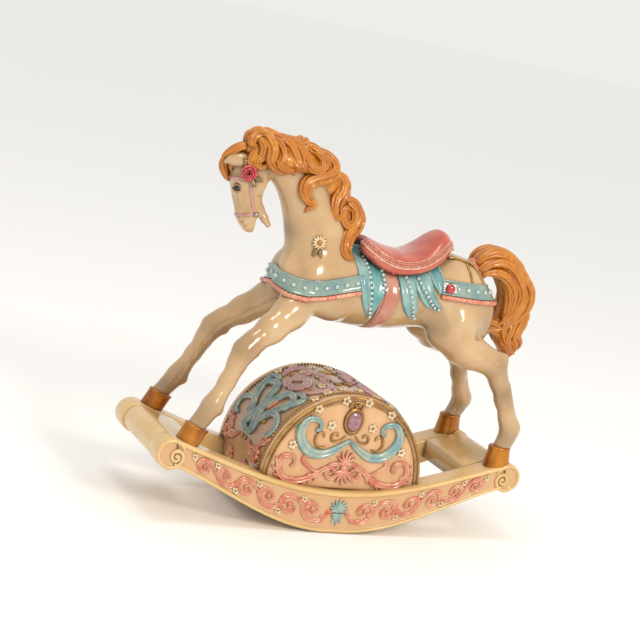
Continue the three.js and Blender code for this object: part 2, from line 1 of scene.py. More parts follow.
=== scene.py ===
import bpy
import numpy as np
from mathutils import Matrix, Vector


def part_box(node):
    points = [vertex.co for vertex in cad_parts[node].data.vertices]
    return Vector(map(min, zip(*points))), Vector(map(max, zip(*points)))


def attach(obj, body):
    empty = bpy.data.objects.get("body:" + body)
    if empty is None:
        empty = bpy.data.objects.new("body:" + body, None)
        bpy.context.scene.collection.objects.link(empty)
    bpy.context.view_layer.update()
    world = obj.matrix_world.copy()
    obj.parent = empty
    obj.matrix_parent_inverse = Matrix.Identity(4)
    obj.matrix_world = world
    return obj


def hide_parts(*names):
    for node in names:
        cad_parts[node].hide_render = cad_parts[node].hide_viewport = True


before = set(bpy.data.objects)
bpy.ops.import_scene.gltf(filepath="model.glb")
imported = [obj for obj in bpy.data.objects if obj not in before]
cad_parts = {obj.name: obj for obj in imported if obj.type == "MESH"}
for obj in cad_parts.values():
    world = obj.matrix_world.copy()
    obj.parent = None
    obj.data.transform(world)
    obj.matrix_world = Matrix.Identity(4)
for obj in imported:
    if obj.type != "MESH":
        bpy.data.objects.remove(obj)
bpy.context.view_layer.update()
MM = 0.001


# ---- Table, lamps and camera -------------------------------------------------------------------
# A pale table top under an even white studio sky, a soft key lamp on the horse's near side, a
# weaker one overhead, and a long lens a little above the horse, rolled to one side.
ROCKER_MIDDLE_X = sum(corner[0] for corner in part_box("rocker_left")) / 2


def plain_material(name, colour, roughness):
    """A one-colour surface with a very faint broad mottling, for the table and the backdrop."""
    material = bpy.data.materials.new(name)
    material.use_nodes = True
    nodes, links = material.node_tree.nodes, material.node_tree.links
    shader = nodes["Principled BSDF"]
    noise = nodes.new("ShaderNodeTexNoise")
    noise.inputs["Scale"].default_value = 3.0
    ramp = nodes.new("ShaderNodeValToRGB")
    ramp.color_ramp.elements[0].color = (*[c * 0.97 for c in colour], 1)
    ramp.color_ramp.elements[1].color = (*colour, 1)
    links.new(noise.outputs["Fac"], ramp.inputs["Fac"])
    links.new(ramp.outputs["Color"], shader.inputs["Base Color"])
    shader.inputs["Roughness"].default_value = roughness
    return material


def table_top(radius, rim_segments):
    """A flat disc: ring of points at the radius round the middle, one face."""
    angle = np.linspace(0, 2 * np.pi, rim_segments, endpoint=False)
    ring = np.stack([radius * np.cos(angle), radius * np.sin(angle), 0 * angle], 1)
    mesh = bpy.data.meshes.new("table_top")
    mesh.from_pydata(ring.tolist(), [], [list(range(rim_segments))])
    mesh.materials.append(plain_material("pale_table", (0.985, 0.985, 0.98), 0.9))
    top = bpy.data.objects.new("table_top", mesh)
    bpy.context.scene.collection.objects.link(top)


def lamp(name, place, aim, size, watts, colour):
    """A square area lamp at place, its -Z axis turned to aim."""
    light = bpy.data.lights.new(name, "AREA")
    light.size = size
    light.energy = watts
    light.color = colour
    holder = bpy.data.objects.new(name, light)
    place, aim = np.array(place, float), np.array(aim, float)
    back = (place - aim) / np.linalg.norm(place - aim)
    right = np.cross([0, 0, 1], back)
    right /= np.linalg.norm(right)
    turn = np.eye(4)
    turn[:3, 0], turn[:3, 1], turn[:3, 2], turn[:3, 3] = right, np.cross(back, right), back, place
    holder.matrix_world = Matrix(turn.tolist())
    bpy.context.scene.collection.objects.link(holder)


def camera(azimuth, height, roll, distance, target, lens):
    """A camera at azimuth and height (degrees) from the target, turned about its own axis by roll."""
    a, e, r = np.radians([azimuth, height, roll])
    back = np.array([np.sin(a) * np.cos(e), -np.cos(a) * np.cos(e), np.sin(e)])
    right = np.cross([0, 0, 1], back)
    right /= np.linalg.norm(right)
    up = np.cross(back, right)
    turn = np.eye(4)
    turn[:3, 0] = np.cos(r) * right - np.sin(r) * up
    turn[:3, 1] = np.sin(r) * right + np.cos(r) * up
    turn[:3, 2] = back
    turn[:3, 3] = np.array(target) + back * distance
    data = bpy.data.cameras.new("camera")
    data.lens, data.sensor_width = lens, 36
    data.clip_end = 50
    holder = bpy.data.objects.new("camera", data)
    holder.matrix_world = Matrix(turn.tolist())
    bpy.context.scene.collection.objects.link(holder)
    bpy.context.scene.camera = holder


table_top(14, 64)
camera(-26.26, 11.0, -11.91, 0.8708, (ROCKER_MIDDLE_X - 0.01576, 0, 0.10423), 93.9)
lamp("key_lamp", (0.22, -0.95, 0.62), (0, 0, 0.09), 0.25, 5.6, (1.0, 0.9, 0.76))
lamp("top_lamp", (-0.2, -0.2, 1.1), (0, 0, 0.09), 0.3, 2.0, (1.0, 0.94, 0.84))
world = bpy.data.worlds.new("studio")
world.use_nodes = True
world.node_tree.nodes["Background"].inputs["Color"].default_value = (1.0, 0.985, 0.96, 1)
world.node_tree.nodes["Background"].inputs["Strength"].default_value = 0.86
bpy.context.scene.world = world
bpy.context.scene.view_settings.view_transform = "Standard"


# ---- The horse casting -------------------------------------------------------------------------
# Torso, neck, head and legs of one horse in gloss ivory enamel, with brown antiquing left in the
# folds. Cast in resin in several pieces whose joints are filled and painted over.
def axis_steps(*spans):
    """One axis of a grid: evenly spaced points in each (from, to, step) span, joined end to end."""
    parts = [np.arange(low, high, step) for low, high, step in spans]
    return np.concatenate([*parts, [spans[-1][1]]])


class Sculpt:
    """A solid held as signed distance, in millimetres, on a grid. Shapes are blended in and carved
    out. While turn_to is set, they are placed in a frame turned about a vertical line."""

    def __init__(self, xs, ys, zs):
        self.axes = [xs, ys, zs]
        self.field = np.full([len(a) for a in self.axes], 9.0, np.float32)
        self.turn_to(0, (0, 0))

    def turn_to(self, angle, pivot):
        """Turns the frame for the shapes that follow by angle degrees about the pivot (x, y)."""
        self.pivot = pivot
        self.cos, self.sin = np.cos(np.radians(angle)), np.sin(np.radians(angle))

    def placed(self, point):
        """A point of the turned frame in the grid's own frame."""
        x, y = point[0] - self.pivot[0], point[1] - self.pivot[1]
        x, y = self.cos * x - self.sin * y, self.sin * x + self.cos * y
        return np.array([x + self.pivot[0], y + self.pivot[1], point[2]])

    def window(self, low, high):
        """The part of the grid between two corners, as slices and as coordinates in the turned frame."""
        cut = [slice(*np.searchsorted(a, [lo, hi])) for a, lo, hi in zip(self.axes, low, high)]
        x, y, z = np.ix_(*[a[c].astype(np.float32) for a, c in zip(self.axes, cut)])
        if self.sin:
            x, y = x - self.pivot[0], y - self.pivot[1]
            x, y = self.cos * x + self.sin * y, self.cos * y - self.sin * x
            x, y = x + self.pivot[0], y + self.pivot[1]
        return tuple(cut), (x, y, z)

    def merge(self, distance, cut, soft, carve):
        """Smooth union, or smooth subtraction: the nearer surface wins, and within soft
        millimetres of each other the two are rounded into one."""
        now = self.field[cut]
        distance = distance.astype(np.float32)
        if carve:
            h = np.clip(soft - np.abs(now + distance), 0, None) / soft
            self.field[cut] = np.maximum(now, -distance) + h * h * soft * 0.25
        else:
            h = np.clip(soft - np.abs(now - distance), 0, None) / soft
            self.field[cut] = np.minimum(now, distance) - h * h * soft * 0.25

    def bone(self, a, b, ra, rb, flat=1.0, soft=2.0, carve=False):
        """A capsule from a to b whose radius runs from ra to rb, with y divided by flat."""
        reach = max(ra, rb) * max(1, flat) + soft + 1.5
        ends = np.stack([self.placed(a), self.placed(b)])
        cut, (x, y, z) = self.window(ends.min(0) - reach, ends.max(0) + reach)
        dx, dy, dz = b[0] - a[0], (b[1] - a[1]) / flat, b[2] - a[2]
        px, py, pz = x - a[0], (y - a[1]) / flat, z - a[2]
        t = np.clip((px * dx + py * dy + pz * dz) / (dx * dx + dy * dy + dz * dz + 1e-9), 0, 1)
        gap = np.sqrt((px - t * dx) ** 2 + (py - t * dy) ** 2 + (pz - t * dz) ** 2)
        self.merge((gap - (ra + (rb - ra) * t)) * min(1, flat), cut, soft, carve)

    def egg(self, middle, half, tilt=0.0, soft=2.0, carve=False):
        """An ellipsoid with half lengths (along, across, tall), tilted about y, front end down."""
        place, reach = self.placed(middle), max(half) + soft + 1.5
        cut, (x, y, z) = self.window(place - reach, place + reach)
        x, y, z = x - middle[0], y - middle[1], z - middle[2]
        c, s = np.cos(np.radians(tilt)), np.sin(np.radians(tilt))
        u, v, w = (c * x + s * z) / half[0], y / half[1], (c * z - s * x) / half[2]
        length = np.sqrt(u * u + v * v + w * w)
        slope = np.sqrt((u / half[0]) ** 2 + (v / half[1]) ** 2 + (w / half[2]) ** 2) + 1e-9
        self.merge(length * (length - 1) / slope, cut, soft, carve)

    def chain(self, stations, flat=1.0, soft=2.0, carve=False):
        """Bones end to end through stations (x, y, z, radius)."""
        for first, second in zip(stations[:-1], stations[1:]):
            self.bone(first[:3], second[:3], first[3], second[3], flat, soft, carve)

    def hull(self, stations, soft=2.0):
        """A body along x: at each x an ellipse with the stations' (x, middle z, half width, half
        height), run smoothly from one station to the next, and rounded off past the ends."""
        stations = np.array(stations, float)
        low, high = stations[0, 0] - 4, stations[-1, 0] + 4
        widest = stations[:, 2:].max() + 4
        cut, (x, y, z) = self.window([low, -widest, stations[:, 1].min() - widest],
                                     [high, widest, stations[:, 1].max() + widest])
        at = np.clip(x.ravel(), stations[0, 0], stations[-1, 0])
        fine = np.linspace(stations[0, 0], stations[-1, 0], 400)
        bell = np.exp(-np.linspace(-2, 2, 25) ** 2)
        middle, half_y, half_z = [
            np.interp(at, fine, np.convolve(np.pad(np.interp(fine, stations[:, 0], stations[:, k]), 12, "edge"),
                                            bell / bell.sum(), "valid")).reshape(-1, 1, 1) for k in (1, 2, 3)
        ]
        u, w = y / half_y, (z - middle) / half_z
        length = np.sqrt(u * u + w * w) + 1e-6
        slope = np.sqrt((u / half_y) ** 2 + (w / half_z) ** 2) + 1e-6
        radial = length * (length - 1) / slope
        past = np.abs(x - at.reshape(-1, 1, 1))
        self.merge(np.where(past > 0, np.sqrt(np.clip(radial, 0, None) ** 2 + past * past), radial), cut, soft,
                   False)

    def value(self, points):
        """The distance at points (..., 3), by straight-line interpolation inside each grid cell."""
        cell, part = [], []
        for k, axis in enumerate(self.axes):
            i = np.clip(np.searchsorted(axis, points[..., k]) - 1, 0, len(axis) - 2)
            cell.append(i)
            part.append(np.clip((points[..., k] - axis[i]) / (axis[i + 1] - axis[i]), 0, 1))
        total = 0
        for corner in np.ndindex(2, 2, 2):
            weight = np.prod([p if up else 1 - p for p, up in zip(part, corner)], axis=0)
            total = total + weight * self.field[tuple(c + up for c, up in zip(cell, corner))]
        return total

    def cast(self, starts, ends, steps=90):
        """How far along each line from its start to its end the solid begins, 0 to 1, or 1 on a miss:
        the first sample inside, moved back to where the distance crosses nought."""
        share = np.linspace(0, 1, steps)
        value = self.value(starts[..., None, :] + (ends - starts)[..., None, :] * share[:, None])
        inside = value < 0
        first = np.clip(inside.argmax(-1), 1, None)
        after = np.take_along_axis(value, first[..., None], -1)[..., 0]
        before = np.take_along_axis(value, first[..., None] - 1, -1)[..., 0]
        crossing = share[first - 1] + (share[1] - share[0]) * before / (before - after + 1e-9)
        return np.where(inside.any(-1), crossing, 1.0)

    def mesh(self):
        """Surface nets: one point in every cell the surface crosses, at the mean of the crossings
        on the cell's edges, and one four-sided face across every grid edge it crosses."""
        field, inside = self.field, self.field < 0
        n = [m - 1 for m in field.shape]
        total = np.zeros((3, *n), np.float32)
        count = np.zeros(n, np.float32)
        for axis in range(3):
            lo, hi = [slice(None)] * 3, [slice(None)] * 3
            lo[axis], hi[axis] = slice(None, -1), slice(1, None)
            f0, f1 = field[tuple(lo)], field[tuple(hi)]
            crossed = inside[tuple(lo)] != inside[tuple(hi)]
            t = np.where(crossed, f0 / np.where(crossed, f0 - f1, 1), 0).astype(np.float32)
            others = [k for k in range(3) if k != axis]
            for k in range(3):
                shape = [1, 1, 1]
                shape[k] = -1
                grid = self.axes[k].astype(np.float32)
                start = (grid[:-1] if k == axis else grid).reshape(shape)
                extra = t * np.diff(grid).reshape(shape) if k == axis else np.float32(0)
                spot = np.where(crossed, start + extra, np.float32(0))
                for a, b in ((0, 0), (0, 1), (1, 0), (1, 1)):
                    pick = [slice(None)] * 3
                    pick[others[0]] = slice(a, n[others[0]] + a)
                    pick[others[1]] = slice(b, n[others[1]] + b)
                    total[k] += spot[tuple(pick)]
                    if k == 0:
                        count += crossed[tuple(pick)]
        used = count > 0
        index = np.full(n, -1, np.int64)
        index[used] = np.arange(used.sum())
        points = np.stack([total[k][used] / count[used] for k in range(3)], 1)
        faces = []
        for axis, (o1, o2) in enumerate([(1, 2), (2, 0), (0, 1)]):
            core = [slice(None)] * 3
            core[o1], core[o2] = slice(1, -1), slice(1, -1)
            first, second = list(core), list(core)
            first[axis], second[axis] = slice(None, -1), slice(1, None)
            a, b = inside[tuple(first)], inside[tuple(second)]
            quad = []
            for d1, d2 in ((0, 0), (1, 0), (1, 1), (0, 1)):
                pick = [slice(None)] * 3
                pick[o1] = slice(d1, n[o1] - 1 + d1)
                pick[o2] = slice(d2, n[o2] - 1 + d2)
                quad.append(index[tuple(pick)])
            quad = np.stack(quad, -1)
            faces += [quad[a & ~b], quad[b & ~a][:, ::-1]]
        return points, np.concatenate(faces)


def smooth_points(points, faces, rounds, share=0.5):
    """Moves each point part of the way to the mean of its face neighbours, rounds times."""
    pairs = np.concatenate([faces[:, [0, 1]], faces[:, [1, 2]], faces[:, [2, 3]], faces[:, [3, 0]]])
    pairs = np.concatenate([pairs, pairs[:, ::-1]])
    number = np.bincount(pairs[:, 0], minlength=len(points))[:, None]
    for _ in range(rounds):
        sums = np.stack([np.bincount(pairs[:, 0], points[pairs[:, 1], k], len(points)) for k in range(3)], 1)
        points = points + share * (sums / number - points)
    return points


def add_piece(name, points_mm, faces, material, body="root", smooth=True):
    """Puts points (millimetres from the rockers' middle) and faces into a new object that rides body."""
    mesh = bpy.data.meshes.new(name)
    points = np.asarray(points_mm, float) * MM + [ROCKER_MIDDLE_X, 0, 0]
    faces = np.asarray(faces)
    mesh.vertices.add(len(points))
    mesh.vertices.foreach_set("co", points.astype(np.float32).ravel())
    size = faces.shape[1]
    mesh.loops.add(faces.size)
    mesh.loops.foreach_set("vertex_index", faces.astype(np.int32).ravel())
    mesh.polygons.add(len(faces))
    mesh.polygons.foreach_set("loop_start", np.arange(0, faces.size, size, dtype=np.int32))
    mesh.polygons.foreach_set("loop_total", np.full(len(faces), size, np.int32))
    mesh.polygons.foreach_set("use_smooth", np.full(len(faces), smooth))
    mesh.update(calc_edges=True)
    mesh.validate()
    mesh.materials.append(material)
    piece = bpy.data.objects.new(name, mesh)
    bpy.context.scene.collection.objects.link(piece)
    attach(piece, body)
    return piece


def wash_group():
    """Antiquing on a painted relief: thin brown stain left where the surface is hemmed in, over a
    base colour that is slightly uneven. Gives the colour, the roughness and a fine height."""
    group = bpy.data.node_groups.new("AntiqueWash", "ShaderNodeTree")
    face = group.interface
    for name, kind, default in (("Base", "NodeSocketColor", (0.8, 0.8, 0.8, 1)),
                                ("Shade", "NodeSocketColor", (0.8, 0.8, 0.8, 1)),
                                ("Stain", "NodeSocketColor", (0.2, 0.1, 0.05, 1)),
                                ("Stain amount", "NodeSocketFloat", 0.7),
                                ("Stain reach", "NodeSocketFloat", 0.003),
                                ("Shade scale", "NodeSocketFloat", 60.0),
                                ("Gloss", "NodeSocketFloat", 0.25)):
        socket = face.new_socket(name=name, in_out="INPUT", socket_type=kind)
        socket.default_value = default
    for name, kind in (("Colour", "NodeSocketColor"), ("Roughness", "NodeSocketFloat"),
                       ("Height", "NodeSocketFloat")):
        face.new_socket(name=name, in_out="OUTPUT", socket_type=kind)
    nodes, links = group.nodes, group.links
    inlet, outlet = nodes.new("NodeGroupInput"), nodes.new("NodeGroupOutput")
    place = nodes.new("ShaderNodeTexCoord")
    cloud, grain = nodes.new("ShaderNodeTexNoise"), nodes.new("ShaderNodeTexNoise")
    links.new(place.outputs["Object"], cloud.inputs["Vector"])
    links.new(place.outputs["Object"], grain.inputs["Vector"])
    links.new(inlet.outputs["Shade scale"], cloud.inputs["Scale"])
    cloud.inputs["Detail"].default_value = 5.0
    grain.inputs["Scale"].default_value = 900.0
    grain.inputs["Detail"].default_value = 3.0
    spread = nodes.new("ShaderNodeMapRange")
    spread.inputs["From Min"].default_value = 0.38
    spread.inputs["From Max"].default_value = 0.66
    links.new(cloud.outputs["Fac"], spread.inputs["Value"])
    paint = nodes.new("ShaderNodeMix")
    paint.data_type = "RGBA"
    links.new(spread.outputs["Result"], paint.inputs["Factor"])
    links.new(inlet.outputs["Base"], paint.inputs["A"])
    links.new(inlet.outputs["Shade"], paint.inputs["B"])
    hollow = nodes.new("ShaderNodeAmbientOcclusion")
    hollow.samples = 6
    links.new(inlet.outputs["Stain reach"], hollow.inputs["Distance"])
    depth = nodes.new("ShaderNodeMapRange")
    depth.inputs["From Min"].default_value = 0.92
    depth.inputs["From Max"].default_value = 0.35
    links.new(hollow.outputs["AO"], depth.inputs["Value"])
    amount = nodes.new("ShaderNodeMath")
    amount.operation = "MULTIPLY"
    links.new(depth.outputs["Result"], amount.inputs[0])
    links.new(inlet.outputs["Stain amount"], amount.inputs[1])
    stained = nodes.new("ShaderNodeMix")
    stained.data_type = "RGBA"
    links.new(amount.outputs["Value"], stained.inputs["Factor"])
    links.new(paint.outputs["Result"], stained.inputs["A"])
    links.new(inlet.outputs["Stain"], stained.inputs["B"])
    links.new(stained.outputs["Result"], outlet.inputs["Colour"])
    rough = nodes.new("ShaderNodeMath")
    rough.operation = "MULTIPLY_ADD"
    rough.inputs[1].default_value = 0.12
    links.new(cloud.outputs["Fac"], rough.inputs[0])
    links.new(inlet.outputs["Gloss"], rough.inputs[2])
    links.new(rough.outputs["Value"], outlet.inputs["Roughness"])
    links.new(grain.outputs["Fac"], outlet.inputs["Height"])
    return group


WASH = wash_group()


PAINTED_DIMMING = (0.72, 0.685, 0.62)   # how much of each chip's red, green and blue is kept: painted shade that dims the whole object, blue most, in place of weaker lamps


def paint(red, green, blue):
    """A colour chip's 0 to 255 values as the linear colour that a shader takes, dimmed by the painted shade
    above.
    """
    return tuple(v * ((c / 255 + 0.055) / 1.055) ** 2.4 for c, v in zip((red, green, blue), PAINTED_DIMMING))


def enamel(name, base, shade, stain, amount, reach, scale, gloss, metallic=0.0, coat=0.6, bump=0.04):
    """Painted resin under a clear gloss coat: base clouded with shade and stained in its hollows, all
    three given as colour chips."""
    material = bpy.data.materials.new(name)
    material.use_nodes = True
    nodes, links = material.node_tree.nodes, material.node_tree.links
    shader = nodes["Principled BSDF"]
    wash = nodes.new("ShaderNodeGroup")
    wash.node_tree = WASH
    for socket, chip in (("Base", base), ("Shade", shade), ("Stain", stain)):
        wash.inputs[socket].default_value = (*paint(*chip), 1)
    for socket, value in (("Stain amount", amount), ("Stain reach", reach), ("Shade scale", scale),
                          ("Gloss", gloss)):
        wash.inputs[socket].default_value = value
    ripple = nodes.new("ShaderNodeBump")
    ripple.inputs["Strength"].default_value = bump
    ripple.inputs["Distance"].default_value = 0.0004
    links.new(wash.outputs["Height"], ripple.inputs["Height"])
    links.new(ripple.outputs["Normal"], shader.inputs["Normal"])
    links.new(wash.outputs["Colour"], shader.inputs["Base Color"])
    links.new(wash.outputs["Roughness"], shader.inputs["Roughness"])
    shader.inputs["Metallic"].default_value = metallic
    shader.inputs["Coat Weight"].default_value = coat
    shader.inputs["Coat Roughness"].default_value = 0.08
    return material


def smudged(material, colour, attribute):
    """Lays a colour over an enamel as far as the attribute says: airbrushed brown and painted shade on the horse.
    """
    nodes, links = material.node_tree.nodes, material.node_tree.links
    shader = nodes["Principled BSDF"]
    under = shader.inputs["Base Color"].links[0].from_socket
    mask = nodes.new("ShaderNodeAttribute")
    mask.attribute_name = attribute
    over = nodes.new("ShaderNodeMix")
    over.data_type = "RGBA"
    over.inputs["B"].default_value = (*colour, 1)
    links.new(mask.outputs["Fac"], over.inputs["Factor"])
    links.new(under, over.inputs["A"])
    links.new(over.outputs["Result"], shader.inputs["Base Color"])
    return material


HEAD_TURN = -20                # degrees: the head looks a little to the horse's right
HEAD_PIVOT = (-64, 0)
FRONT_LEG = [(-31, 10, 119, 9), (-40, 15, 110, 8.9), (-51, 19.5, 101, 7.3), (-60.5, 22.3, 93.8, 5.7),
             (-64.6, 23.2, 89.3, 6.0), (-67.6, 24, 83.5, 4.7), (-72, 25.6, 73, 4.0), (-75.6, 26.6, 65, 4.1),
             (-77.8, 27, 60.4, 5.2), (-81.2, 27.8, 55.2, 4.2), (-84.2, 28.4, 50.6, 4.9)]
REAR_LEG = [(57, 13, 112, 13), (62, 16, 103, 10.5), (68, 18.5, 99.5, 8.6), (75, 20.8, 97, 6.6),
            (81.5, 22.5, 94.5, 6.2), (84.6, 23.6, 87.5, 5.0), (88.8, 25.3, 77.5, 4.2), (93, 26.8, 68, 4.3),
            (96, 27.6, 62.8, 5.3), (95, 28.3, 57.5, 4.4), (93, 28.7, 52.8, 5.0)]


def carve_horse():
    """Blends the whole horse: hull, neck and legs first, then the muscles, then the folds."""
    fine, coarse = ((0.52, 0.9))
    horse = Sculpt(axis_steps((-95, -52, fine), (-52, 104, coarse)),
                   axis_steps((-37, -12, coarse), (-12, 12, fine), (12, 37, coarse)),
                   axis_steps((36, 141, coarse), (141, 196, fine)))
    horse.hull([(-43.4, 127.5, 8, 9), (-39.8, 127, 12.8, 13.5), (-33, 127, 16.4, 17.6), (-20, 125.5, 18.2, 20),
                (0, 122.8, 19.3, 19), (20, 122.3, 19.3, 18.2), (36, 125.5, 18.4, 18.8), (52, 128, 18.4, 21),
                (65, 127, 16.4, 19.6), (73, 124.5, 12, 15), (76.5, 123.5, 8, 10)])
    horse.chain([(-24, 0, 130, 18), (-26.2, 0, 143, 16.2), (-32.4, 0, 157, 13.9), (-40, 0, 169, 11.4),
                 (-50, 0, 179.4, 9.2), (-60, 0, 183, 7.4)], flat=0.78, soft=4.6)
    for side in (-1, 1):
        for leg in (FRONT_LEG, REAR_LEG):
            horse.chain([(x, side * y, z, r) for x, y, z, r in leg], flat=0.88, soft=2.6)
        horse.egg((-31, side * 9.5, 124), (12, 9.4, 17), tilt=-24, soft=5)
        horse.egg((-20, side * 12, 116), (11, 6.6, 8), tilt=-30, soft=5)
        horse.egg((-42.2, side * 4.8, 127.4), (5.0, 5.8, 9.4), tilt=-6, soft=4)
        horse.egg((58, side * 9.4, 122), (19, 11.4, 17.5), tilt=-18, soft=5)
        horse.egg((51, side * 13.4, 108.5), (10, 7.2, 10), tilt=20, soft=5)
        horse.egg((73.5, side * 8.4, 117), (6.5, 7.4, 14), soft=5)
        horse.bone((69, side * 19.4, 103.5), (84.6, side * 22.6, 99.6), 3.4, 2.0, soft=3)
        horse.egg((85.2, side * 22.7, 99.2), (2.7, 2.6, 3.0), soft=2.4)
        horse.egg((-67.2, side * 23.4, 91.4), (2.6, 3.6, 3.6), tilt=-35, soft=1.6)
        horse.egg((-58.6, side * 21.9, 88.8), (2.2, 2.6, 2.6), soft=2)
        horse.bone((-64.6, side * 24.2, 80), (-74.2, side * 27.2, 62), 1.5, 1.4, soft=1.6)
        horse.egg((-73.9, side * 26.8, 58.6), (2.0, 2.4, 2.4), soft=2)
        horse.bone((90.4, side * 24.8, 86), (98.2, side * 27.2, 66), 1.5, 1.5, soft=1.6)
        horse.egg((99.6, side * 27.6, 60.6), (2.1, 2.4, 2.4), soft=2)
        horse.egg((38, side * 20.8, 112), (8, 4.6, 8.5), tilt=-25, soft=6, carve=True)
        horse.bone((-15, side * 20.8, 121), (-22, side * 20.8, 104), 1.6, 1.4, soft=4.5, carve=True)
        horse.bone((-46, side * 12.8, 147), (-40, side * 15.2, 131), 0.8, 1.2, soft=3.6, carve=True)
        horse.bone((-24, side * 13.8, 158), (-14, side * 16.2, 143), 1.0, 1.0, soft=4.5, carve=True)
        horse.bone((43, side * 22.6, 131), (50, side * 22.8, 118), 1.2, 1.0, soft=4, carve=True)
        horse.bone((66, side * 21.6, 109), (76, side * 21, 119), 1.0, 1.0, soft=3.4, carve=True)
    horse.bone((-50.6, 0, 118), (-47.4, 0, 110), 0.6, 1.4, soft=3, carve=True)
    horse.bone((79.6, 0, 134), (78, 0, 106), 1.2, 1.6, soft=3, carve=True)

    horse.turn_to(HEAD_TURN, HEAD_PIVOT)
    horse.chain([(-65, 0, 183.5, 7.2), (-69.6, 0, 177, 9.0), (-70.4, 0, 170, 8.5), (-69.4, 0, 163, 6.8),
                 (-67.9, 0, 156.5, 5.2), (-66.9, 0, 151.8, 4.6), (-65.4, 0, 148.4, 3.6)], flat=0.86, soft=3)
    horse.bone((-76.6, 0, 173), (-70.9, 0, 153), 2.6, 2.1, flat=1.3, soft=2.2)
    for side in (-1, 1):
        horse.egg((-66.6, side * 4.9, 171.6), (5.6, 3.0, 6.9), tilt=8, soft=1.6)
        horse.egg((-76.0, side * 5.2, 170.8), (3.0, 2.4, 2.0), tilt=-30, soft=1.4)
        horse.bone((-75.6, side * 6.4, 166.2), (-72.2, side * 4.4, 158.5), 1.2, 0.7, soft=1.8)
        horse.egg((-76.6, side * 7.0, 167.4), (2.3, 1.5, 1.8), tilt=-25, soft=0.8, carve=True)
        horse.egg((-69.2, side * 3.9, 150.6), (2.2, 1.5, 2.3), tilt=-20, soft=1.0)
        horse.egg((-69.8, side * 5.0, 150.0), (0.8, 1.2, 1.3), tilt=-20, soft=0.6, carve=True)
        horse.bone((-66.6, side * 6.4, 160), (-70, side * 5.4, 154), 0.7, 0.6, soft=2.0, carve=True)
        horse.egg((-71.5, side * 6.6, 181.6), (3.0, 1.8, 2.4), soft=1.6)
    for z in (144.6, 146.8, 149.0, 151.2):
        horse.bone((-60.9, -7, z), (-60.9, 7, z), 1.9, 1.9, soft=0.7, carve=True)
    horse.chain([(-65.8, 0, 163, 3.2), (-62.4, 0, 157.6, 2.7), (-59.0, 0, 153.6, 2.1), (-56.4, 0, 150.6, 1.6)],
                flat=1.2, soft=1.2)
    horse.bone((-61.6, -7, 152.6), (-61.6, 7, 152.6), 0.8, 0.8, soft=0.6, carve=True)
    return horse


def shading_of(points):
    """How dark the brown lies, 0 to 1: airbrush at hooves, knees, hocks, muzzle; painted shade under belly,
    chest, neck.
    """
    spots = [(x, side * y, z, r) for side in (-1, 1) for x, y, z, r in (
        (-82, 28, 54, 7), (-77, 27, 60, 5), (-64.5, 23, 90, 7), (95, 28, 57, 8), (83, 23, 94, 7), (88, 25, 80, 7),
        (38, 16, 108, 9), (78, 10, 112, 10), (-20, 14, 104, 9))]
    spots += [(20, 0, 103, 12), (-44, 0, 150, 6), (-39, 0, 118, 8), (0, 0, 102, 12)]
    shade = np.zeros(len(points))
    for x, y, z, r in spots:
        gap = ((points - [x, y, z]) ** 2).sum(1)
        shade = 1 - (1 - shade) * (1 - np.exp(-gap / (r * r)))
    return shade


# Painted shade: the brown laid by the mask darkens the belly's underside, chest, neck front and hollows behind
# the legs, besides airbrushed joints.
ivory = smudged(enamel("ivory_enamel", (226, 194, 150), (208, 170, 124), (112, 66, 32), 0.75, 0.006, 45,
                       0.14, coat=0.8), paint(112, 84, 58), "airbrush_and_shade")
solid = carve_horse()
horse_points, horse_faces = solid.mesh()
horse_points = smooth_points(horse_points, horse_faces, 2)
horse = add_piece("horse", horse_points, horse_faces, ivory)
airbrush_and_shade = horse.data.attributes.new("airbrush_and_shade", "FLOAT", "POINT")
airbrush_and_shade.data.foreach_set("value", (0.7 * shading_of(horse_points)).astype(np.float32))
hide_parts("horse_body", "leg_front_left", "leg_front_right", "leg_rear_left", "leg_rear_right")


# ---- Hooves ------------------------------------------------------------------------------------
# The lower ends of the legs, painted bronze over the same casting. Each has a raised band where
# the hair would start, faint growth rings and a cleft heel, and stands on a rocker's top.
def smooth_path(points, count):
    """A Catmull-Rom curve through the points, count samples: each span is the cubic whose slope at
    a point is half the step between that point's neighbours."""
    p = np.asarray(points, float)
    p = np.concatenate([2 * p[:1] - p[1:2], p, 2 * p[-1:] - p[-2:-1]])
    t = np.linspace(0, len(p) - 3 - 1e-9, count)
    k = t.astype(int)
    t = (t - k)[:, None]
    a, b, c, d = p[k], p[k + 1], p[k + 2], p[k + 3]
    return 0.5 * (2 * b + (c - a) * t + (2 * a - 5 * b + 4 * c - d) * t**2 + (3 * b - a - 3 * c + d) * t**3)


def unit(vectors):
    """Vectors brought to length one."""
    return vectors / (np.linalg.norm(vectors, axis=-1, keepdims=True) + 1e-12)


def tube_faces(rows, columns):
    """Faces of a tube: four-sided between neighbouring rings, and each end ring closed by a strip
    of faces that joins its points in pairs across."""
    r, c = np.meshgrid(np.arange(rows - 1), np.arange(columns), indexing="ij")
    a, b = r * columns + c, r * columns + (c + 1) % columns
    sides = np.stack([a, b, b + columns, a + columns], -1).reshape(-1, 4)
    k = np.arange(columns // 2 - 1)
    cap = np.stack([k, columns - 1 - k, columns - 2 - k, k + 1], -1)
    return np.concatenate([sides, cap, cap[:, ::-1] + (rows - 1) * columns])


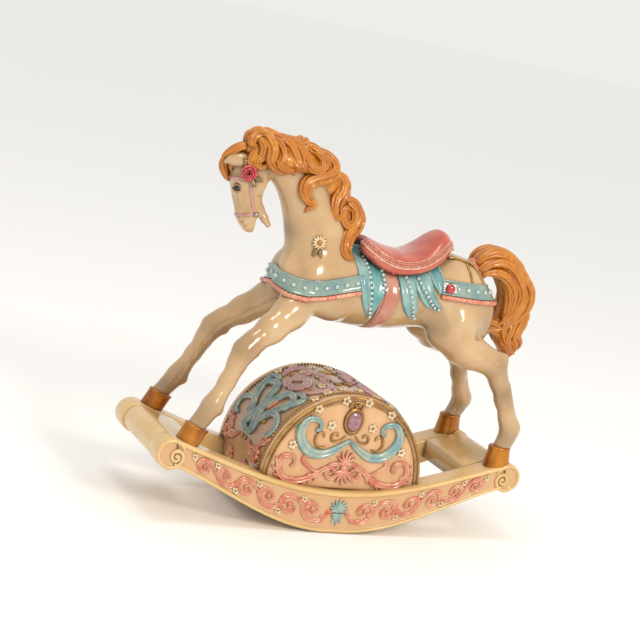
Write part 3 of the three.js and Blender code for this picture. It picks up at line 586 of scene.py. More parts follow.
class Pile:
    """Closed shapes gathered into one mesh, each a stack of rings with its faces turned outwards."""

    def __init__(self):
        self.points, self.faces, self.count = [], [], 0

    def rings(self, rings):
        """Adds one closed tube from an array of points (rows, columns, 3), columns even."""
        points = rings.reshape(-1, 3)
        faces = tube_faces(*rings.shape[:2])
        a, b, c, d = [points[faces[:, k]] - points[0] for k in range(4)]
        if (a * (np.cross(b, c) + np.cross(c, d))).sum() < 0:
            faces = faces[:, ::-1]
        self.points.append(points)
        self.faces.append(faces + self.count)
        self.count += len(points)

    def piece(self, name, material, slot, *nodes, body="root"):
        """Makes the pile one object with its material, standing for the CAD nodes. The slot is not used."""
        piece = add_piece(name, np.concatenate(self.points), np.concatenate(self.faces), material, body)
        if nodes:
            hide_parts(*nodes)
        return piece


HOOF_COLUMNS = 40
HOOF_RINGS = [(-0.02, 0.70), (-0.02, 0.92), (0.0, 1.0), (0.05, 1.05), (0.10, 1.04), (0.13, 0.99)]
HOOF_RINGS += [(t, 1.0) for t in np.linspace(0.18, 0.96, 17)] + [(1.03, 0.97), (1.06, 0.70)]


def hoof(top, bottom, half_top, half_bottom, tilts, heel, side):
    """Ellipses from the coronet down to the sole, their long axes tilted, with growth rings as a
    small wave down the wall and the heel drawn in by a narrow bell in angle."""
    t, grow = np.array(HOOF_RINGS).T
    turn = np.linspace(0, 2 * np.pi, HOOF_COLUMNS, endpoint=False)
    middle = np.outer(1 - t, top) + np.outer(t, bottom)
    half = (half_top + (half_bottom - half_top) * t) * grow * (1 + 0.007 * np.sin(50 * t))
    tilt = np.radians(tilts[0] + (tilts[1] - tilts[0]) * t)
    off = np.abs((turn - np.radians(heel) + np.pi) % (2 * np.pi) - np.pi)
    reach = half[:, None] * (1 - 0.13 * np.exp(-(off / 0.3) ** 2))
    along, across = reach * np.cos(turn), reach * 0.88 * np.sin(turn)
    x = middle[:, None, 0] + along * np.cos(tilt)[:, None]
    z = middle[:, None, 2] + along * np.sin(tilt)[:, None]
    return np.stack([x, side * (middle[:, None, 1] + across), z], -1)


bronze = enamel("bronze_paint", (222, 146, 36), (166, 94, 16), (60, 26, 6), 0.8, 0.003, 130, 0.26,
                metallic=0.55, coat=0.3, bump=0.12)
HANDS = (("left", -1), ("right", 1))
for hand, side in HANDS:
    for end, shape in (("front", ((-84, 28.5, 50.2), (-88.5, 28.8, 40.7), 6.3, 6.4, (-19, -15), 0)),
                       ("rear", ((91.8, 28.6, 52.6), (91.7, 28.8, 41.6), 5.9, 7.5, (2, 8), 0))):
        pile = Pile()
        pile.rings(hoof(*shape, side))
        pile.piece(f"hoof_{end}_{hand}_cast", bronze, "bronze_paint", f"hoof_{end}_{hand}")


# ---- Rockers -----------------------------------------------------------------------------------
# Two curved runners in cream resin whose ends roll into scrolls. Their outer faces are sunk
# between two rims and carry a cast-in relief, picked out by brush.
ROCKER_OUTER = 35.75
FIELD_DEPTH = 1.2
SCROLL_CENTRE = (97.0, 36.4)
# (y, anchor, z): z is measured from the bottom curve where the anchor is 0, from the top where 1
ROCKER_SECTION = np.array([
    (22.1, 0, 1.6), (22.1, 0, 3.5), (22.1, 0.5, 0), (22.1, 1, -3.5), (22.1, 1, -1.6), (22.5, 1, -0.6),
    (23.4, 1, -0.1),
    (24.6, 1, 0), (28.9, 1, 0), (33.6, 1, 0), (34.7, 1, -0.12), (35.4, 1, -0.5), (35.75, 1, -1.2),
    (35.7, 1, -1.9),
    (35.4, 1, -2.4), (34.9, 1, -2.65), (34.6, 1, -2.9), (34.55, 1, -3.2), (34.55, 0.5, 0), (34.55, 0, 2.8),
    (34.6, 0, 2.4), (34.9, 0, 2.1), (35.4, 0, 1.9), (35.7, 0, 1.5), (35.75, 0, 1.0), (35.4, 0, 0.3), (34.6, 0, 0),
    (28.9, 0, 0), (23.6, 0, 0), (22.5, 0, 0.5)])


def rocker_top(x):
    """Height of a rocker's top edge at x."""
    u = x / 100
    return 22.5 + 32.2 * u**2 - 9.3 * u**4


def rocker_bottom(x):
    """Height of a rocker's running edge at x, flat for a little way where it stands."""
    u = x / 100
    return np.maximum(0, 52.1 * u**2 - 20.3 * u**4 - 0.33)


def rocker_runner(side):
    """The section loop carried along x, stretched between the bottom curve and the top curve."""
    x = np.linspace(-95, 95, 153)[:, None]
    y, anchor, offset = ROCKER_SECTION.T
    z = rocker_bottom(x) + anchor * (rocker_top(x) - rocker_bottom(x)) + offset
    return np.stack(np.broadcast_arrays(x, side * y, z), -1)


def rocker_scroll(side, end):
    """A short drum turned about a cross axis: radius and y of each ring, with the rim of its outer
    face let down to the field, by a smooth step in angle, where the field of the runner enters."""
    y = np.array([22.1, 22.1, 22.5, 23.5, 28.9, 34.0, 35.1, 35.65, 35.75, 35.5, 34.95, 34.6, 34.55, 34.55])
    radius = np.array([4, 7.0, 7.7, 8.0, 8.0, 8.0, 7.75, 7.3, 6.7, 6.2, 5.9, 5.6, 5.2, 2.0])
    turn = np.linspace(0, 2 * np.pi, 72, endpoint=False)
    off = np.abs((turn - np.radians(-17) + np.pi) % (2 * np.pi) - np.pi)
    kept = 1 / (1 + np.exp(-(off - np.radians(34)) * 14))
    level = np.minimum(y[:, None], 34.5 + (y[:, None] - 34.5) * kept)
    x = end * (SCROLL_CENTRE[0] - radius[:, None] * np.cos(turn))
    z = SCROLL_CENTRE[1] + radius[:, None] * np.sin(turn)
    return np.stack([x, side * level, z], -1)


LENS = np.array([(-1, -0.3), (-0.95, 0.35), (-0.6, 0.82), (0, 1), (0.6, 0.82), (0.95, 0.35), (1, -0.3),
                 (0, -0.4)])
CREASED = np.array([(-1, -0.3), (-0.95, 0.5), (-0.62, 0.95), (-0.3, 0.85), (0, 0.45), (0.3, 0.85), (0.62, 0.95),
                    (0.95, 0.5), (1, -0.3), (0, -0.4)])
MOUND = [(1.0, -0.3), (0.97, 0.4), (0.7, 0.8), (0.25, 1.0)]


def stroke(pile, chart, path, widths, height, samples=26, section=LENS, ends=0.14):
    """A raised line on a charted surface: a section carried along the path, across it by the half
    width there and up by the height, both rounded off to nothing over a share of each end."""
    line = smooth_path(path, samples)
    run = unit(np.gradient(line, axis=0))
    t = np.linspace(0, 1, samples)
    width = np.interp(t, np.linspace(0, 1, len(widths)), widths)
    near = np.clip(np.minimum(t, 1 - t) / ends, 0, 1)
    round_off = 0.08 + 0.92 * np.sqrt(1 - (1 - near) ** 2)
    side = np.stack([-run[:, 1], run[:, 0]], -1) * (width * round_off)[:, None]
    uv = line[:, None] + side[:, None] * section[None, :, :1]
    up = (height * round_off**0.6)[:, None] * section[None, :, 1]
    pile.rings(chart(uv[..., 0], uv[..., 1], up))


def leaf(pile, chart, root, heading, length, width, height, bend=20):
    """One small pointed leaf: a stroke of four points whose heading (degrees) turns by bend."""
    step = np.array([0, 0.35, 0.7, 1.0])
    angle = np.radians(heading + bend * step)
    path = np.array(root) + length * step[:, None] * np.stack([np.cos(angle), np.sin(angle)], -1)
    stroke(pile, chart, path, (0.55 * width, width, 0.8 * width, 0.12 * width), height, 9, ends=0.1)


def fan(pile, chart, root, heading, spread, count, length, width, height):
    """Leaves side by side from one root, the middle one longest."""
    for k in np.linspace(-1, 1, count):
        leaf(pile, chart, root, heading + k * spread, length * (1 - 0.38 * k * k), width, height, 24 * k)


def fringe(pile, chart, path, count, length, width, height, turn):
    """Leaves off one side of a path, each leaving its heading by turn degrees."""
    line = smooth_path(path, 60)
    spots = np.linspace(8, 50, count).astype(int)
    run = np.gradient(line, axis=0)[spots]
    for spot, heading in zip(line[spots], np.degrees(np.arctan2(run[:, 1], run[:, 0]))):
        leaf(pile, chart, spot, heading + turn, length, width, height, -0.5 * turn)


def circle_angles(columns):
    """Evenly spaced angles once round a circle, without the last."""
    return np.linspace(0, 2 * np.pi, columns, endpoint=False)


def mound(pile, chart, middle, radius, height, columns=8):
    """A bead: rings of falling radius and rising height round one spot of the chart."""
    turn = circle_angles(columns)
    reach, up = np.array(MOUND).T
    u = middle[0] + radius * reach[:, None] * np.cos(turn)
    v = middle[1] + radius * reach[:, None] * np.sin(turn)
    pile.rings(chart(u, v, height * up[:, None] + 0 * u))


def walked(line):
    """How far along a line each of its points is, as the running sum of its steps."""
    return np.concatenate([[0], np.cumsum(np.linalg.norm(np.diff(line, axis=0), axis=1))])


def bead_row(pile, chart, path, count, radius, height):
    """Beads evenly along a path."""
    line = smooth_path(path, 200)
    walk = walked(line)
    for s in np.linspace(0, walk[-1], count):
        mound(pile, chart, [np.interp(s, walk, line[:, k]) for k in (0, 1)], radius, height)


PETAL_RINGS = np.array([(1, -0.3), (1, 0.3), (0.9, 0.75), (0.68, 0.95), (0.42, 0.7), (0.2, 0.4), (0.06, 0.35)])


def flower(petals, hearts, chart, middle, radius, height, count=5):
    """A flower on a chart: rings whose radius dips between petals by a power of a cosine, cupped
    towards a small domed heart."""
    turn = np.linspace(0, 2 * np.pi, 6 * count, endpoint=False)
    reach, up = PETAL_RINGS.T[:, :, None]
    lobe = 1 - 0.4 * reach * (1 - np.abs(np.cos(count * turn / 2)) ** 0.7)
    u, v = middle[0] + radius * reach * lobe * np.cos(turn), middle[1] + radius * reach * lobe * np.sin(turn)
    petals.rings(chart(u, v, height * (up + 0.25 * reach * (lobe - 1)) + 0 * u))
    mound(hearts, chart, middle, 0.26 * radius, 0.95 * height)


CURL = np.array([(-1.6, 0.85), (-1.15, -0.2), (-0.35, -0.95), (0.65, -0.85), (1.05, 0.0), (0.65, 0.75), (0, 0.72),
                 (-0.32, 0.2), (0.02, -0.22), (0.38, -0.02), (0.25, 0.22)])
SCROLL_PITCH = [(13.5, 5.4, 1), (27, 5.0, -1), (40, 4.7, 1), (53, 4.3, -1), (65.5, 3.9, 1), (77.5, 3.4, -1)]
FIELD_FLOWERS = [(20.5, 5.0), (34, -5.0), (47, 4.6), (59.5, -4.2), (71.5, 3.6), (84.5, 2.4)]
VOLUTE = [(-2.6, -6.6), (0.4, -6.9), (3.4, -6.0), (5.6, -3.9), (6.2, -1.2), (4.9, 1.3), (2.4, 1.9), (0.5, 0.4),
          (0.5, -2.0), (2.2, -3.4), (4.0, -2.4), (3.7, -0.8), (2.6, -0.9)]


def rocker_chart(side):
    """u is x and v the height from the middle of the sunk field, on the outer face of a rocker."""
    def place(u, v, h):
        middle = (rocker_top(u) + rocker_bottom(u)) / 2 - 0.2
        return np.stack([u, side * (ROCKER_OUTER - FIELD_DEPTH + h), middle + v], -1)
    return place


def end_chart(side, end):
    """u runs from a scroll's middle towards the horse's middle, v up, on the outer face."""
    def place(u, v, h):
        return np.stack([end * (SCROLL_CENTRE[0] - u), side * (ROCKER_OUTER - FIELD_DEPTH + h),
                         SCROLL_CENTRE[1] + v], -1)
    return place


cream = enamel("cream_resin", (250, 216, 156), (236, 196, 130), (120, 76, 28), 0.6, 0.004, 40, 0.22, coat=0.4)
field_paint = smudged(enamel("rocker_paint", (250, 216, 156), (236, 196, 130), (120, 76, 28), 0.6, 0.004, 40,
                             0.22, coat=0.4), paint(234, 190, 144), "field")
coral = enamel("coral_resin", (230, 130, 108), (248, 190, 158), (176, 70, 52), 0.55, 0.0018, 210, 0.2, coat=0.6)
sky = enamel("blue_resin", (134, 184, 196), (192, 212, 200), (64, 104, 112), 0.5, 0.0018, 230, 0.22, coat=0.6)
petal_white = enamel("white_resin", (250, 236, 205), (244, 220, 180), (176, 120, 66), 0.7, 0.0015, 200, 0.25)
gilt = enamel("gold_paint", (204, 160, 84), (164, 116, 48), (84, 48, 16), 0.8, 0.0015, 200, 0.26,
              metallic=0.45, coat=0.4, bump=0.1)

for hand, side in HANDS:
    runner, scrolls, shells, petals, hearts = Pile(), Pile(), Pile(), Pile(), Pile()
    runner.rings(rocker_runner(side))
    chart = rocker_chart(side)
    for end in (-1, 1):
        runner.rings(rocker_scroll(side, end))
        stroke(runner, end_chart(side, end), VOLUTE, (1.15, 1.15, 1.1, 1.0, 1.0), FIELD_DEPTH, 60, ends=0.05)
        mound(runner, end_chart(side, end), (2.7, -0.9), 1.25, 1.3, 16)
        for at, size, up in SCROLL_PITCH:
            path = (CURL * [1, up]) * size * [1.25, 1.05] + [at, 0]
            path[:, 1] *= 0.92
            stroke(scrolls, chart, path * [end, 1], (0.7, 1.25, 1.2, 0.8, 0.6), 1.05, 44, CREASED)
            fringe(scrolls, chart, path[:5] * [end, 1], 5, 0.62 * size, 0.17 * size, 0.85, 62 * end * up)
            fringe(scrolls, chart, path[:4] * [end, 1], 3, 0.5 * size, 0.15 * size, 0.8, -58 * end * up)
            mound(scrolls, chart, path[-1] * [end, 1], 0.2 * size, 1.15)
        for at, up in FIELD_FLOWERS:
            flower(petals, hearts, chart, (end * at, up), 2.0, 1.0)
    fan(shells, chart, (0, 0.6), 90, 62, 9, 7.6, 0.95, 1.1)
    fan(shells, chart, (0, -1.6), -90, 55, 5, 5.4, 0.85, 1.0)
    stroke(shells, chart, [(-3.6, -0.6), (0, -1.2), (3.6, -0.6)], (0.8, 1.3, 0.8), 1.2, 14)
    body = runner.piece(f"rocker_{hand}_cast", field_paint, "cream_resin", f"rocker_{hand}")
    points = np.concatenate(runner.points)
    sunk = (np.abs(points[:, 1]) > 34) & (np.abs(points[:, 1]) < ROCKER_OUTER - FIELD_DEPTH + 0.1)
    height = (points[:, 2] - rocker_bottom(points[:, 0])) / (rocker_top(points[:, 0]) - rocker_bottom(points[:,
            0]))
    reach = np.hypot(np.abs(points[:, 0]) - SCROLL_CENTRE[0], points[:, 2] - SCROLL_CENTRE[1])
    inside = ((height > 0.1) & (height < 0.9) & (np.abs(points[:, 0]) < 92)) | (reach < 5.7)
    field = body.data.attributes.new("field", "FLOAT", "POINT")
    field.data.foreach_set("value", (sunk & inside).astype(np.float32))
    scrolls.piece(f"rocker_{hand}_scrolls", coral, "coral_resin")
    shells.piece(f"rocker_{hand}_shell", sky, "blue_resin")
    petals.piece(f"rocker_{hand}_petals", petal_white, "white_resin")
    hearts.piece(f"rocker_{hand}_hearts", gilt, "gold_paint")


# ---- Cross bars --------------------------------------------------------------------------------
# Two broad cream bars cast with the rockers, one under the front hooves and one under the rear.
# Their top corners are rounded and their outer ends rolled like the rocker scrolls.
def rounded_bar(outline, half, radius):
    """An outline in x and z carried across y from -half to half, drawn in over the last few steps
    at each end by a quarter circle of the radius."""
    outline = np.array(outline, float)
    middle = outline.mean(0)
    lean = np.radians(np.linspace(0, 90, 6))
    inset = np.concatenate([radius * (1 - np.sin(lean)), radius * (1 - np.sin(lean))[::-1]])
    y = np.concatenate([-half + radius * (1 - np.cos(lean)), half - radius * (1 - np.cos(lean))[::-1]])
    reach = np.linalg.norm(outline - middle, axis=1)
    shrink = 1 - inset[:, None] / reach
    ring = middle + (outline - middle) * shrink[..., None]
    return np.stack([ring[..., 0], np.broadcast_to(y[:, None], ring.shape[:2]), ring[..., 1]], -1)


def bar_outline(end):
    """The long section of a cross bar: along the top curve 0.4 below the rockers' tops, round the
    rolled outer end, and back along a line 10.6 lower."""
    x = np.linspace(76.3, 96, 14)
    turn = np.radians(np.linspace(88, -88, 16))
    roll = np.stack([SCROLL_CENTRE[0] + 7.2 * np.cos(turn), SCROLL_CENTRE[1] + 7.2 * np.sin(turn)], -1)
    top = np.stack([x, rocker_top(x) - 0.4], -1)
    below = np.stack([x[::-1], np.maximum(rocker_top(x[::-1]) - 10.6, 27.1)], -1)
    return np.concatenate([top, roll, below]) * [end, 1]


for name, end in (("front", -1), ("rear", 1)):
    pile = Pile()
    pile.rings(rounded_bar(bar_outline(end), 21.9, 0.3))
    pile.piece(f"cross_bar_{name}_cast", cream, "cream_resin", f"cross_bar_{name}")


# ---- Half-drum ---------------------------------------------------------------------------------
# An arched resin shell between the rockers with a flat panel at each end. Shell and panels carry
# scrolls, leaves and flowers in low relief, and each panel has a set stone and two gilt cords.
DRUM_RADIUS, DRUM_MIDDLE_Z = 46.0, 27.5
DRUM_FACE = 30.7
SHELL_START = -16.7            # degrees below level where the arch ends, at the base plate


def arch(radius, low=SHELL_START, count=90):
    """Points round the arch at a radius, from one foot to the other, in x and z."""
    turn = np.radians(np.linspace(low, 180 - low, count))
    return np.stack([radius * np.cos(turn), DRUM_MIDDLE_Z + radius * np.sin(turn)], -1)


def drum_wall():
    """The wall's rounded oblong section, radius and y, carried round the arch."""
    loop = np.array([(43.6, -26.9), (43.6, 0), (43.6, 26.9), (44.1, 27.4), (45.5, 27.4), (46, 26.9), (46, 20),
                     (46, 10), (46, 0), (46, -10), (46, -20), (46, -26.9), (45.5, -27.4), (44.1, -27.4)])
    turn = np.radians(np.linspace(SHELL_START, 180 - SHELL_START, 120))[:, None]
    x, z = loop[:, 0] * np.cos(turn), DRUM_MIDDLE_Z + loop[:, 0] * np.sin(turn)
    return np.stack([x, np.broadcast_to(loop[:, 1], x.shape), z], -1)


def drum_panel(side):
    """The panel's outline, an arch cut off level, drawn in towards a middle point: first round its
    edge from the back face to the front, then flat to the middle."""
    rim = arch(45.9, -6.0, 120)
    foot = np.stack([np.linspace(rim[-1, 0], rim[0, 0], 42)[1:-1], np.full(40, rim[0, 1])], -1)
    outline = np.concatenate([rim, foot])
    middle = np.array([0, 44.0])
    inward = unit(middle - outline)
    inset = np.array([60, 20, 1.0, 0.2, 0, 0, 0.25, 0.9, 1.8, 4, 12, 25, 60])
    y = np.array([27.7, 27.7, 27.7, 27.9, 28.4, 30.0, 30.45, 30.7, 30.62, 30.6, 30.6, 30.6, 30.6])
    depth = np.minimum(inset[:, None], 0.96 * np.linalg.norm(middle - outline, axis=1))
    ring = outline + inward * depth[..., None]
    return np.stack([ring[..., 0], np.broadcast_to(side * y[:, None], ring.shape[:2]), ring[..., 1]], -1)


def cord(pile, path, radius, beat, samples, columns=10, depth=0.22):
    """A round cord along a 3-D path whose radius swells evenly, beat millimetres from bead to bead."""
    line = smooth_path(path, samples)
    run = unit(np.gradient(line, axis=0))
    walk = walked(line)
    side = unit(np.cross(run, [0.05, 1.0, 0.02]))
    up = np.cross(run, side)
    turn = circle_angles(columns)
    thick = radius * (1 - depth + depth * np.abs(np.sin(np.pi * walk / beat)))
    ring = side[:, None] * np.cos(turn)[:, None] + up[:, None] * np.sin(turn)[:, None]
    pile.rings(line[:, None] + ring * thick[:, None, None])


def face_chart(side):
    """u across and v up on a panel's outer face, h out from it."""
    def place(u, v, h):
        return np.stack([u, side * (DRUM_FACE - 0.1 + h), v], -1)
    return place


def shell_chart(end):
    """u degrees round the arch counted from the horse's front (end -1) or rear, times the radius
    in millimetres, v along y, h out from the shell."""
    def place(u, v, h):
        turn = u / DRUM_RADIUS
        return np.stack([end * (DRUM_RADIUS + h) * np.cos(turn), v,
                         DRUM_MIDDLE_Z + (DRUM_RADIUS + h) * np.sin(turn)], -1)
    return place


def round_arch(*spots):
    """Spots given as degrees up from level and y, as chart places in millimetres."""
    return [(np.radians(angle) * DRUM_RADIUS, y) for angle, y in spots]


peach = enamel("panel_resin", (244, 198, 152), (234, 184, 134), (120, 68, 32), 0.7, 0.004, 60, 0.2)
taupe = enamel("drum_resin", (212, 166, 122), (186, 146, 112), (84, 52, 30), 0.85, 0.005, 70, 0.2)
mauve = enamel("mauve_paint", (206, 152, 168), (226, 192, 188), (120, 72, 80), 0.6, 0.002, 190, 0.22)
slate = enamel("slate_paint", (128, 164, 176), (186, 200, 190), (56, 76, 80), 0.6, 0.0025, 190, 0.22)
amethyst = enamel("amethyst_stone", (150, 96, 120), (186, 140, 158), (60, 20, 40), 0.4, 0.001, 300, 0.03,
                  coat=1.0)

BLUE_BRACE = [(0.6, 50.2), (-5.5, 45.2), (-13, 41.4), (-21, 41.8), (-26.8, 47), (-28.6, 53), (-26.4, 58.2),
              (-22, 59.6), (-18.2, 57.6), (-18.2, 54.4), (-20.8, 53.6)]
GOLD_HOOK = [(-13, 45.4), (-17, 44.6), (-19.6, 48), (-18.6, 52), (-15.6, 52.2), (-14.8, 49.8)]
GOLD_CURL = [(-2.6, 52), (-6, 49), (-10, 48.6), (-10.6, 51.6), (-8, 52.8), (-7, 51)]
CORAL_WING = [(-3.6, 34), (-10, 33.8), (-16.2, 29.6), (-24, 26.2), (-33, 26.9), (-37.3, 32.6), (-35.6, 38.6),
              (-29.6, 38.6), (-28.4, 35.2), (-31, 33.6)]
CORAL_SPIRAL = [(-1.2, 36), (-4, 36.6), (-8.6, 35), (-9.6, 30.8), (-6.6, 28.4), (-3.8, 30.4), (-5, 32.8),
                (-6.8, 31.8)]
CORAL_RISE = [(-15, 31), (-20, 33.6), (-24, 37), (-23, 40), (-20.6, 39)]
PANEL_FLOWERS = [(-21, 65), (-6.5, 70.4), (-11.8, 56.8), (6.5, 70.4), (21, 65), (11.8, 56.8), (-31.5, 45),
                 (31.5, 45)]

shell = Pile()
shell.rings(drum_wall())
shell.piece("drum_shell_cast", taupe, "drum_resin", "drum_shell")

for hand, side in HANDS:
    panel, cords, blues, corals, petals, hearts = Pile(), Pile(), Pile(), Pile(), Pile(), Pile()
    panel.rings(drum_panel(side))
    chart = face_chart(side)
    for radius, thick in ((44.9, 0.85), (42.7, 0.7)):
        rim = arch(radius, -4.6, 60)
        cord(cords, np.insert(rim, 1, side * (DRUM_FACE + 0.15), axis=1), thick, 1.5, 420, 8)
    for flip in (-1, 1):
        mirror = [flip, 1]
        stroke(blues, chart, BLUE_BRACE * np.array(mirror), (0.9, 2.2, 2.9, 2.4, 1.5, 1.1, 0.9), 1.9, 60, CREASED,
               0.06)
        edge = (np.array(BLUE_BRACE[1:8]) - [0, 46]) * 1.1 + [0, 46]
        bead_row(blues, chart, edge * mirror, 26, 0.55, 0.8)
        stroke(cords, chart, GOLD_HOOK * np.array(mirror), (0.5, 0.8, 0.6), 1.0, 30)
        stroke(cords, chart, GOLD_CURL * np.array(mirror), (0.4, 0.7, 0.6), 1.0, 30)
        stroke(corals, chart, CORAL_WING * np.array(mirror), (0.9, 1.6, 1.8, 1.5, 1.0, 0.8), 1.5, 54, CREASED,
               0.08)
        stroke(corals, chart, CORAL_SPIRAL * np.array(mirror), (0.8, 1.3, 1.1, 0.8), 1.5, 40, CREASED, 0.08)
        stroke(corals, chart, CORAL_RISE * np.array(mirror), (0.7, 1.2, 0.8), 1.2, 22)
        fringe(corals, chart, CORAL_WING[1:7] * np.array(mirror), 9, 5.0, 0.95, 1.1, 58 * flip)
        fringe(corals, chart, CORAL_WING[1:6] * np.array(mirror), 6, 4.2, 0.8, 1.0, -56 * flip)
    fan(corals, chart, (0, 35.5), 90, 46, 7, 8.8, 0.95, 1.5)
    fan(corals, chart, (0, 33.5), -90, 52, 7, 8.6, 1.0, 1.4)
    mound(corals, chart, (0, 34.6), 2.0, 1.9, 14)
    for spot in PANEL_FLOWERS:
        flower(petals, hearts, chart, spot, 2.7, 1.2)
    for flip in (-1, 1):
        stroke(cords, chart, [(0, 67.2), (flip * 1.8, 69.4), (flip * 3.8, 68.8), (flip * 3.4, 67.0),
                              (flip * 1.9, 67.2)],
               (0.6, 0.8, 0.5), 1.1, 20)
    mound(cords, chart, (0, 67.4), 1.1, 1.4, 10)
    panel.piece(f"drum_panel_{hand}_cast", peach, "panel_resin", f"drum_panel_{hand}")
    cords.piece(f"panel_{hand}_gilt", gilt, "gold_paint")
    blues.piece(f"panel_{hand}_braces", sky, "blue_resin")
    corals.piece(f"panel_{hand}_leaves", coral, "coral_resin")
    petals.piece(f"panel_{hand}_petals", petal_white, "white_resin")
    hearts.piece(f"panel_{hand}_hearts", gilt, "gold_paint")

    turn = np.linspace(0, 2 * np.pi, 64, endpoint=False)
    grow, out = np.array([(0.1, 0.0), (1.42, 0.0), (1.44, 0.9), (1.34, 1.5), (1.2, 1.7), (1.08, 1.5), (1.0, 0.9),
                          (0.1, 0.8)]).T
    milled = 1 + 0.035 * np.cos(32 * turn) * (grow[:, None] > 1.1)
    setting, stone = Pile(), Pile()
    setting.rings(chart(3.9 * grow[:, None] * milled * np.cos(turn),
                        60 + 5.1 * grow[:, None] * milled * np.sin(turn), out[:, None] + 0 * turn))
    grow, out = np.array([(0.1, 0.7), (1.0, 0.7), (1.02, 1.2), (0.97, 1.7), (0.86, 2.15), (0.66, 2.5),
                          (0.4, 2.72), (0.08, 2.8)]).T
    stone.rings(chart(3.95 * grow[:, None] * np.cos(turn), 60 + 5.15 * grow[:, None] * np.sin(turn),
                      out[:, None] + 0 * turn))
    setting.piece(f"bezel_{hand}_milled", gilt, "gold_paint", f"bezel_{hand}")
    stone.piece(f"cabochon_{hand}_stone", amethyst, "amethyst_stone", f"cabochon_{hand}")

slates, mauves, corals, golds, petals, hearts = Pile(), Pile(), Pile(), Pile(), Pile(), Pile()
for end in (-1, 1):
    chart = shell_chart(end)
    for way in (-1, 1):
        mirror = np.array([1, -way])
        stroke(slates, chart, round_arch((17, 0), (21, 5), (31, 1.5), (43, -3), (53, -8), (52, -16), (45, -18.6),
                                         (41, -15)) * mirror, (1.2, 3.0, 2.8, 2.2, 1.6, 1.3), 2.2, 50, CREASED,
               0.07)
        stroke(slates, chart, round_arch((24, 4), (33, 10), (45, 17), (55, 22), (58, 16), (54, 12)) * mirror,
               (1.4, 2.2, 1.8, 1.2), 1.9, 40, CREASED, 0.08)
        stroke(slates, chart, round_arch((22, -5), (33, -8), (37, -16), (32, -24), (24, -23), (23, -18)) * mirror,
               (1.2, 2.0, 1.7, 1.2), 1.8, 40, CREASED, 0.08)
        stroke(mauves, chart, round_arch((58, 4), (66, 8), (70, 1), (63, -7), (57, -3), (60, 1)) * mirror,
               (0.9, 2.0, 1.9, 1.2), 1.8, 40, CREASED, 0.08)
        stroke(mauves, chart, round_arch((60, 16), (70, 20), (78, 16), (77, 9), (71, 9)) * mirror,
               (0.8, 1.9, 1.6, 1.0), 1.7, 34, CREASED, 0.08)
        stroke(corals, chart, round_arch((36, 4), (44, 5), (52, 4.6)) * mirror, (0.8, 1.8, 0.9), 1.4, 20, CREASED)
        fringe(corals, chart, round_arch((12, 8), (9, 16), (18, 22), (20, 27)) * mirror, 6, 4.4, 1.1, 1.3,
               60 * way)
        stroke(corals, chart, round_arch((14, 6), (8, 15), (17, 21), (19, 26)) * mirror, (1, 1.7, 1.5, 0.9), 1.6,
               30, CREASED)
        flower(corals, hearts, chart, round_arch((9, -20 * way))[0], 4.6, 1.9, 7)
        flower(corals, hearts, chart, round_arch((-3, -10 * way))[0], 4.0, 1.7, 7)
        for spot in ((74, 12.5), (84, 20), (72, 23), (80, -3), (62, 25)):
            flower(petals, hearts, chart, round_arch((spot[0], -spot[1] * way))[0], 2.6, 1.3)
        for spot in ((29, 11), (38, 13), (13, 2), (48, 0), (66, 13.5)):
            mound(golds, chart, round_arch((spot[0], -spot[1] * way))[0], 1.3, 1.3, 10)
        fan(golds, chart, round_arch((84, 11 * way))[0], -20 * way, 40, 3, 5.5, 1.1, 1.0)
        fan(mauves, chart, round_arch((84, 3 * way))[0], 180, 70, 7, 6.0, 0.95, 1.5)
        bead_row(golds, chart, round_arch((-8, 26.2 * way), (40, 26.2 * way), (89, 26.2 * way)), 44, 0.7, 0.9)
slates.piece("shell_scrolls", slate, "blue_resin")
mauves.piece("shell_mauve_leaves", mauve, "pink_resin")
corals.piece("shell_coral_leaves", coral, "coral_resin")
golds.piece("shell_gilt_beads", gilt, "gold_paint")
petals.piece("shell_petals", petal_white, "white_resin")
hearts.piece("shell_hearts", gilt, "gold_paint")


# ---- Mane, forelock and tail -------------------------------------------------------------------
# Hair cast as thick curling locks over a solid core, each lock combed with fine grooves, painted
# honey brown and wiped so that the grooves stay dark.
def locks_on(solids, path, side, lift, reach=24.0):
    """Spots (x, z) laid on the nearest of the solids as seen from one side, lift millimetres off,
    then evened out along the path: each spot's y becomes the mean of its near neighbours'."""
    path = np.asarray(path, float)
    starts = np.stack([path[:, 0], np.full(len(path), side * reach), path[:, 1]], -1)
    ends = starts * [1, 0, 1]
    share = np.min([s.cast(starts, ends) for s in solids], axis=0)
    depth = np.clip(reach * (1 - share), 2.0, None) + lift
    even = np.convolve(np.pad(depth, 1, "edge"), [0.25, 0.5, 0.25], "valid")
    return np.stack([path[:, 0], side * even, path[:, 1]], -1)


def lock(pile, path, half_width, height, outward, strands=7, twist=0.8, samples=46, columns=42, tip=0.08):
    """A lock of hair: an oval facing outward, carried along a 3-D path and drawn in towards its tip.
    Its edge dips between strands, and the dips wind round it by twist turns on the way down."""
    line = smooth_path(path, samples)
    run = unit(np.gradient(line, axis=0))
    across = unit(np.cross(np.broadcast_to(np.array(outward, float), run.shape), run))
    up = np.cross(run, across)
    t = np.linspace(0, 1, samples)
    swell = np.interp(t, [0, 0.04, 0.2, 0.55, 0.85, 0.97, 1], [0.3, 0.62, 1, 1, 0.62, 0.26, tip])
    turn = circle_angles(columns)
    comb = 1 - 0.3 * (1 - np.abs(np.sin(strands * turn / 2 + np.pi * twist * t[:, None])) ** 0.8)
    wide = half_width * swell[:, None] * comb * np.cos(turn)
    tall = height * swell[:, None] * comb * np.sin(turn)
    pile.rings(line[:, None] + across[:, None] * wide[..., None] + up[:, None] * tall[..., None])


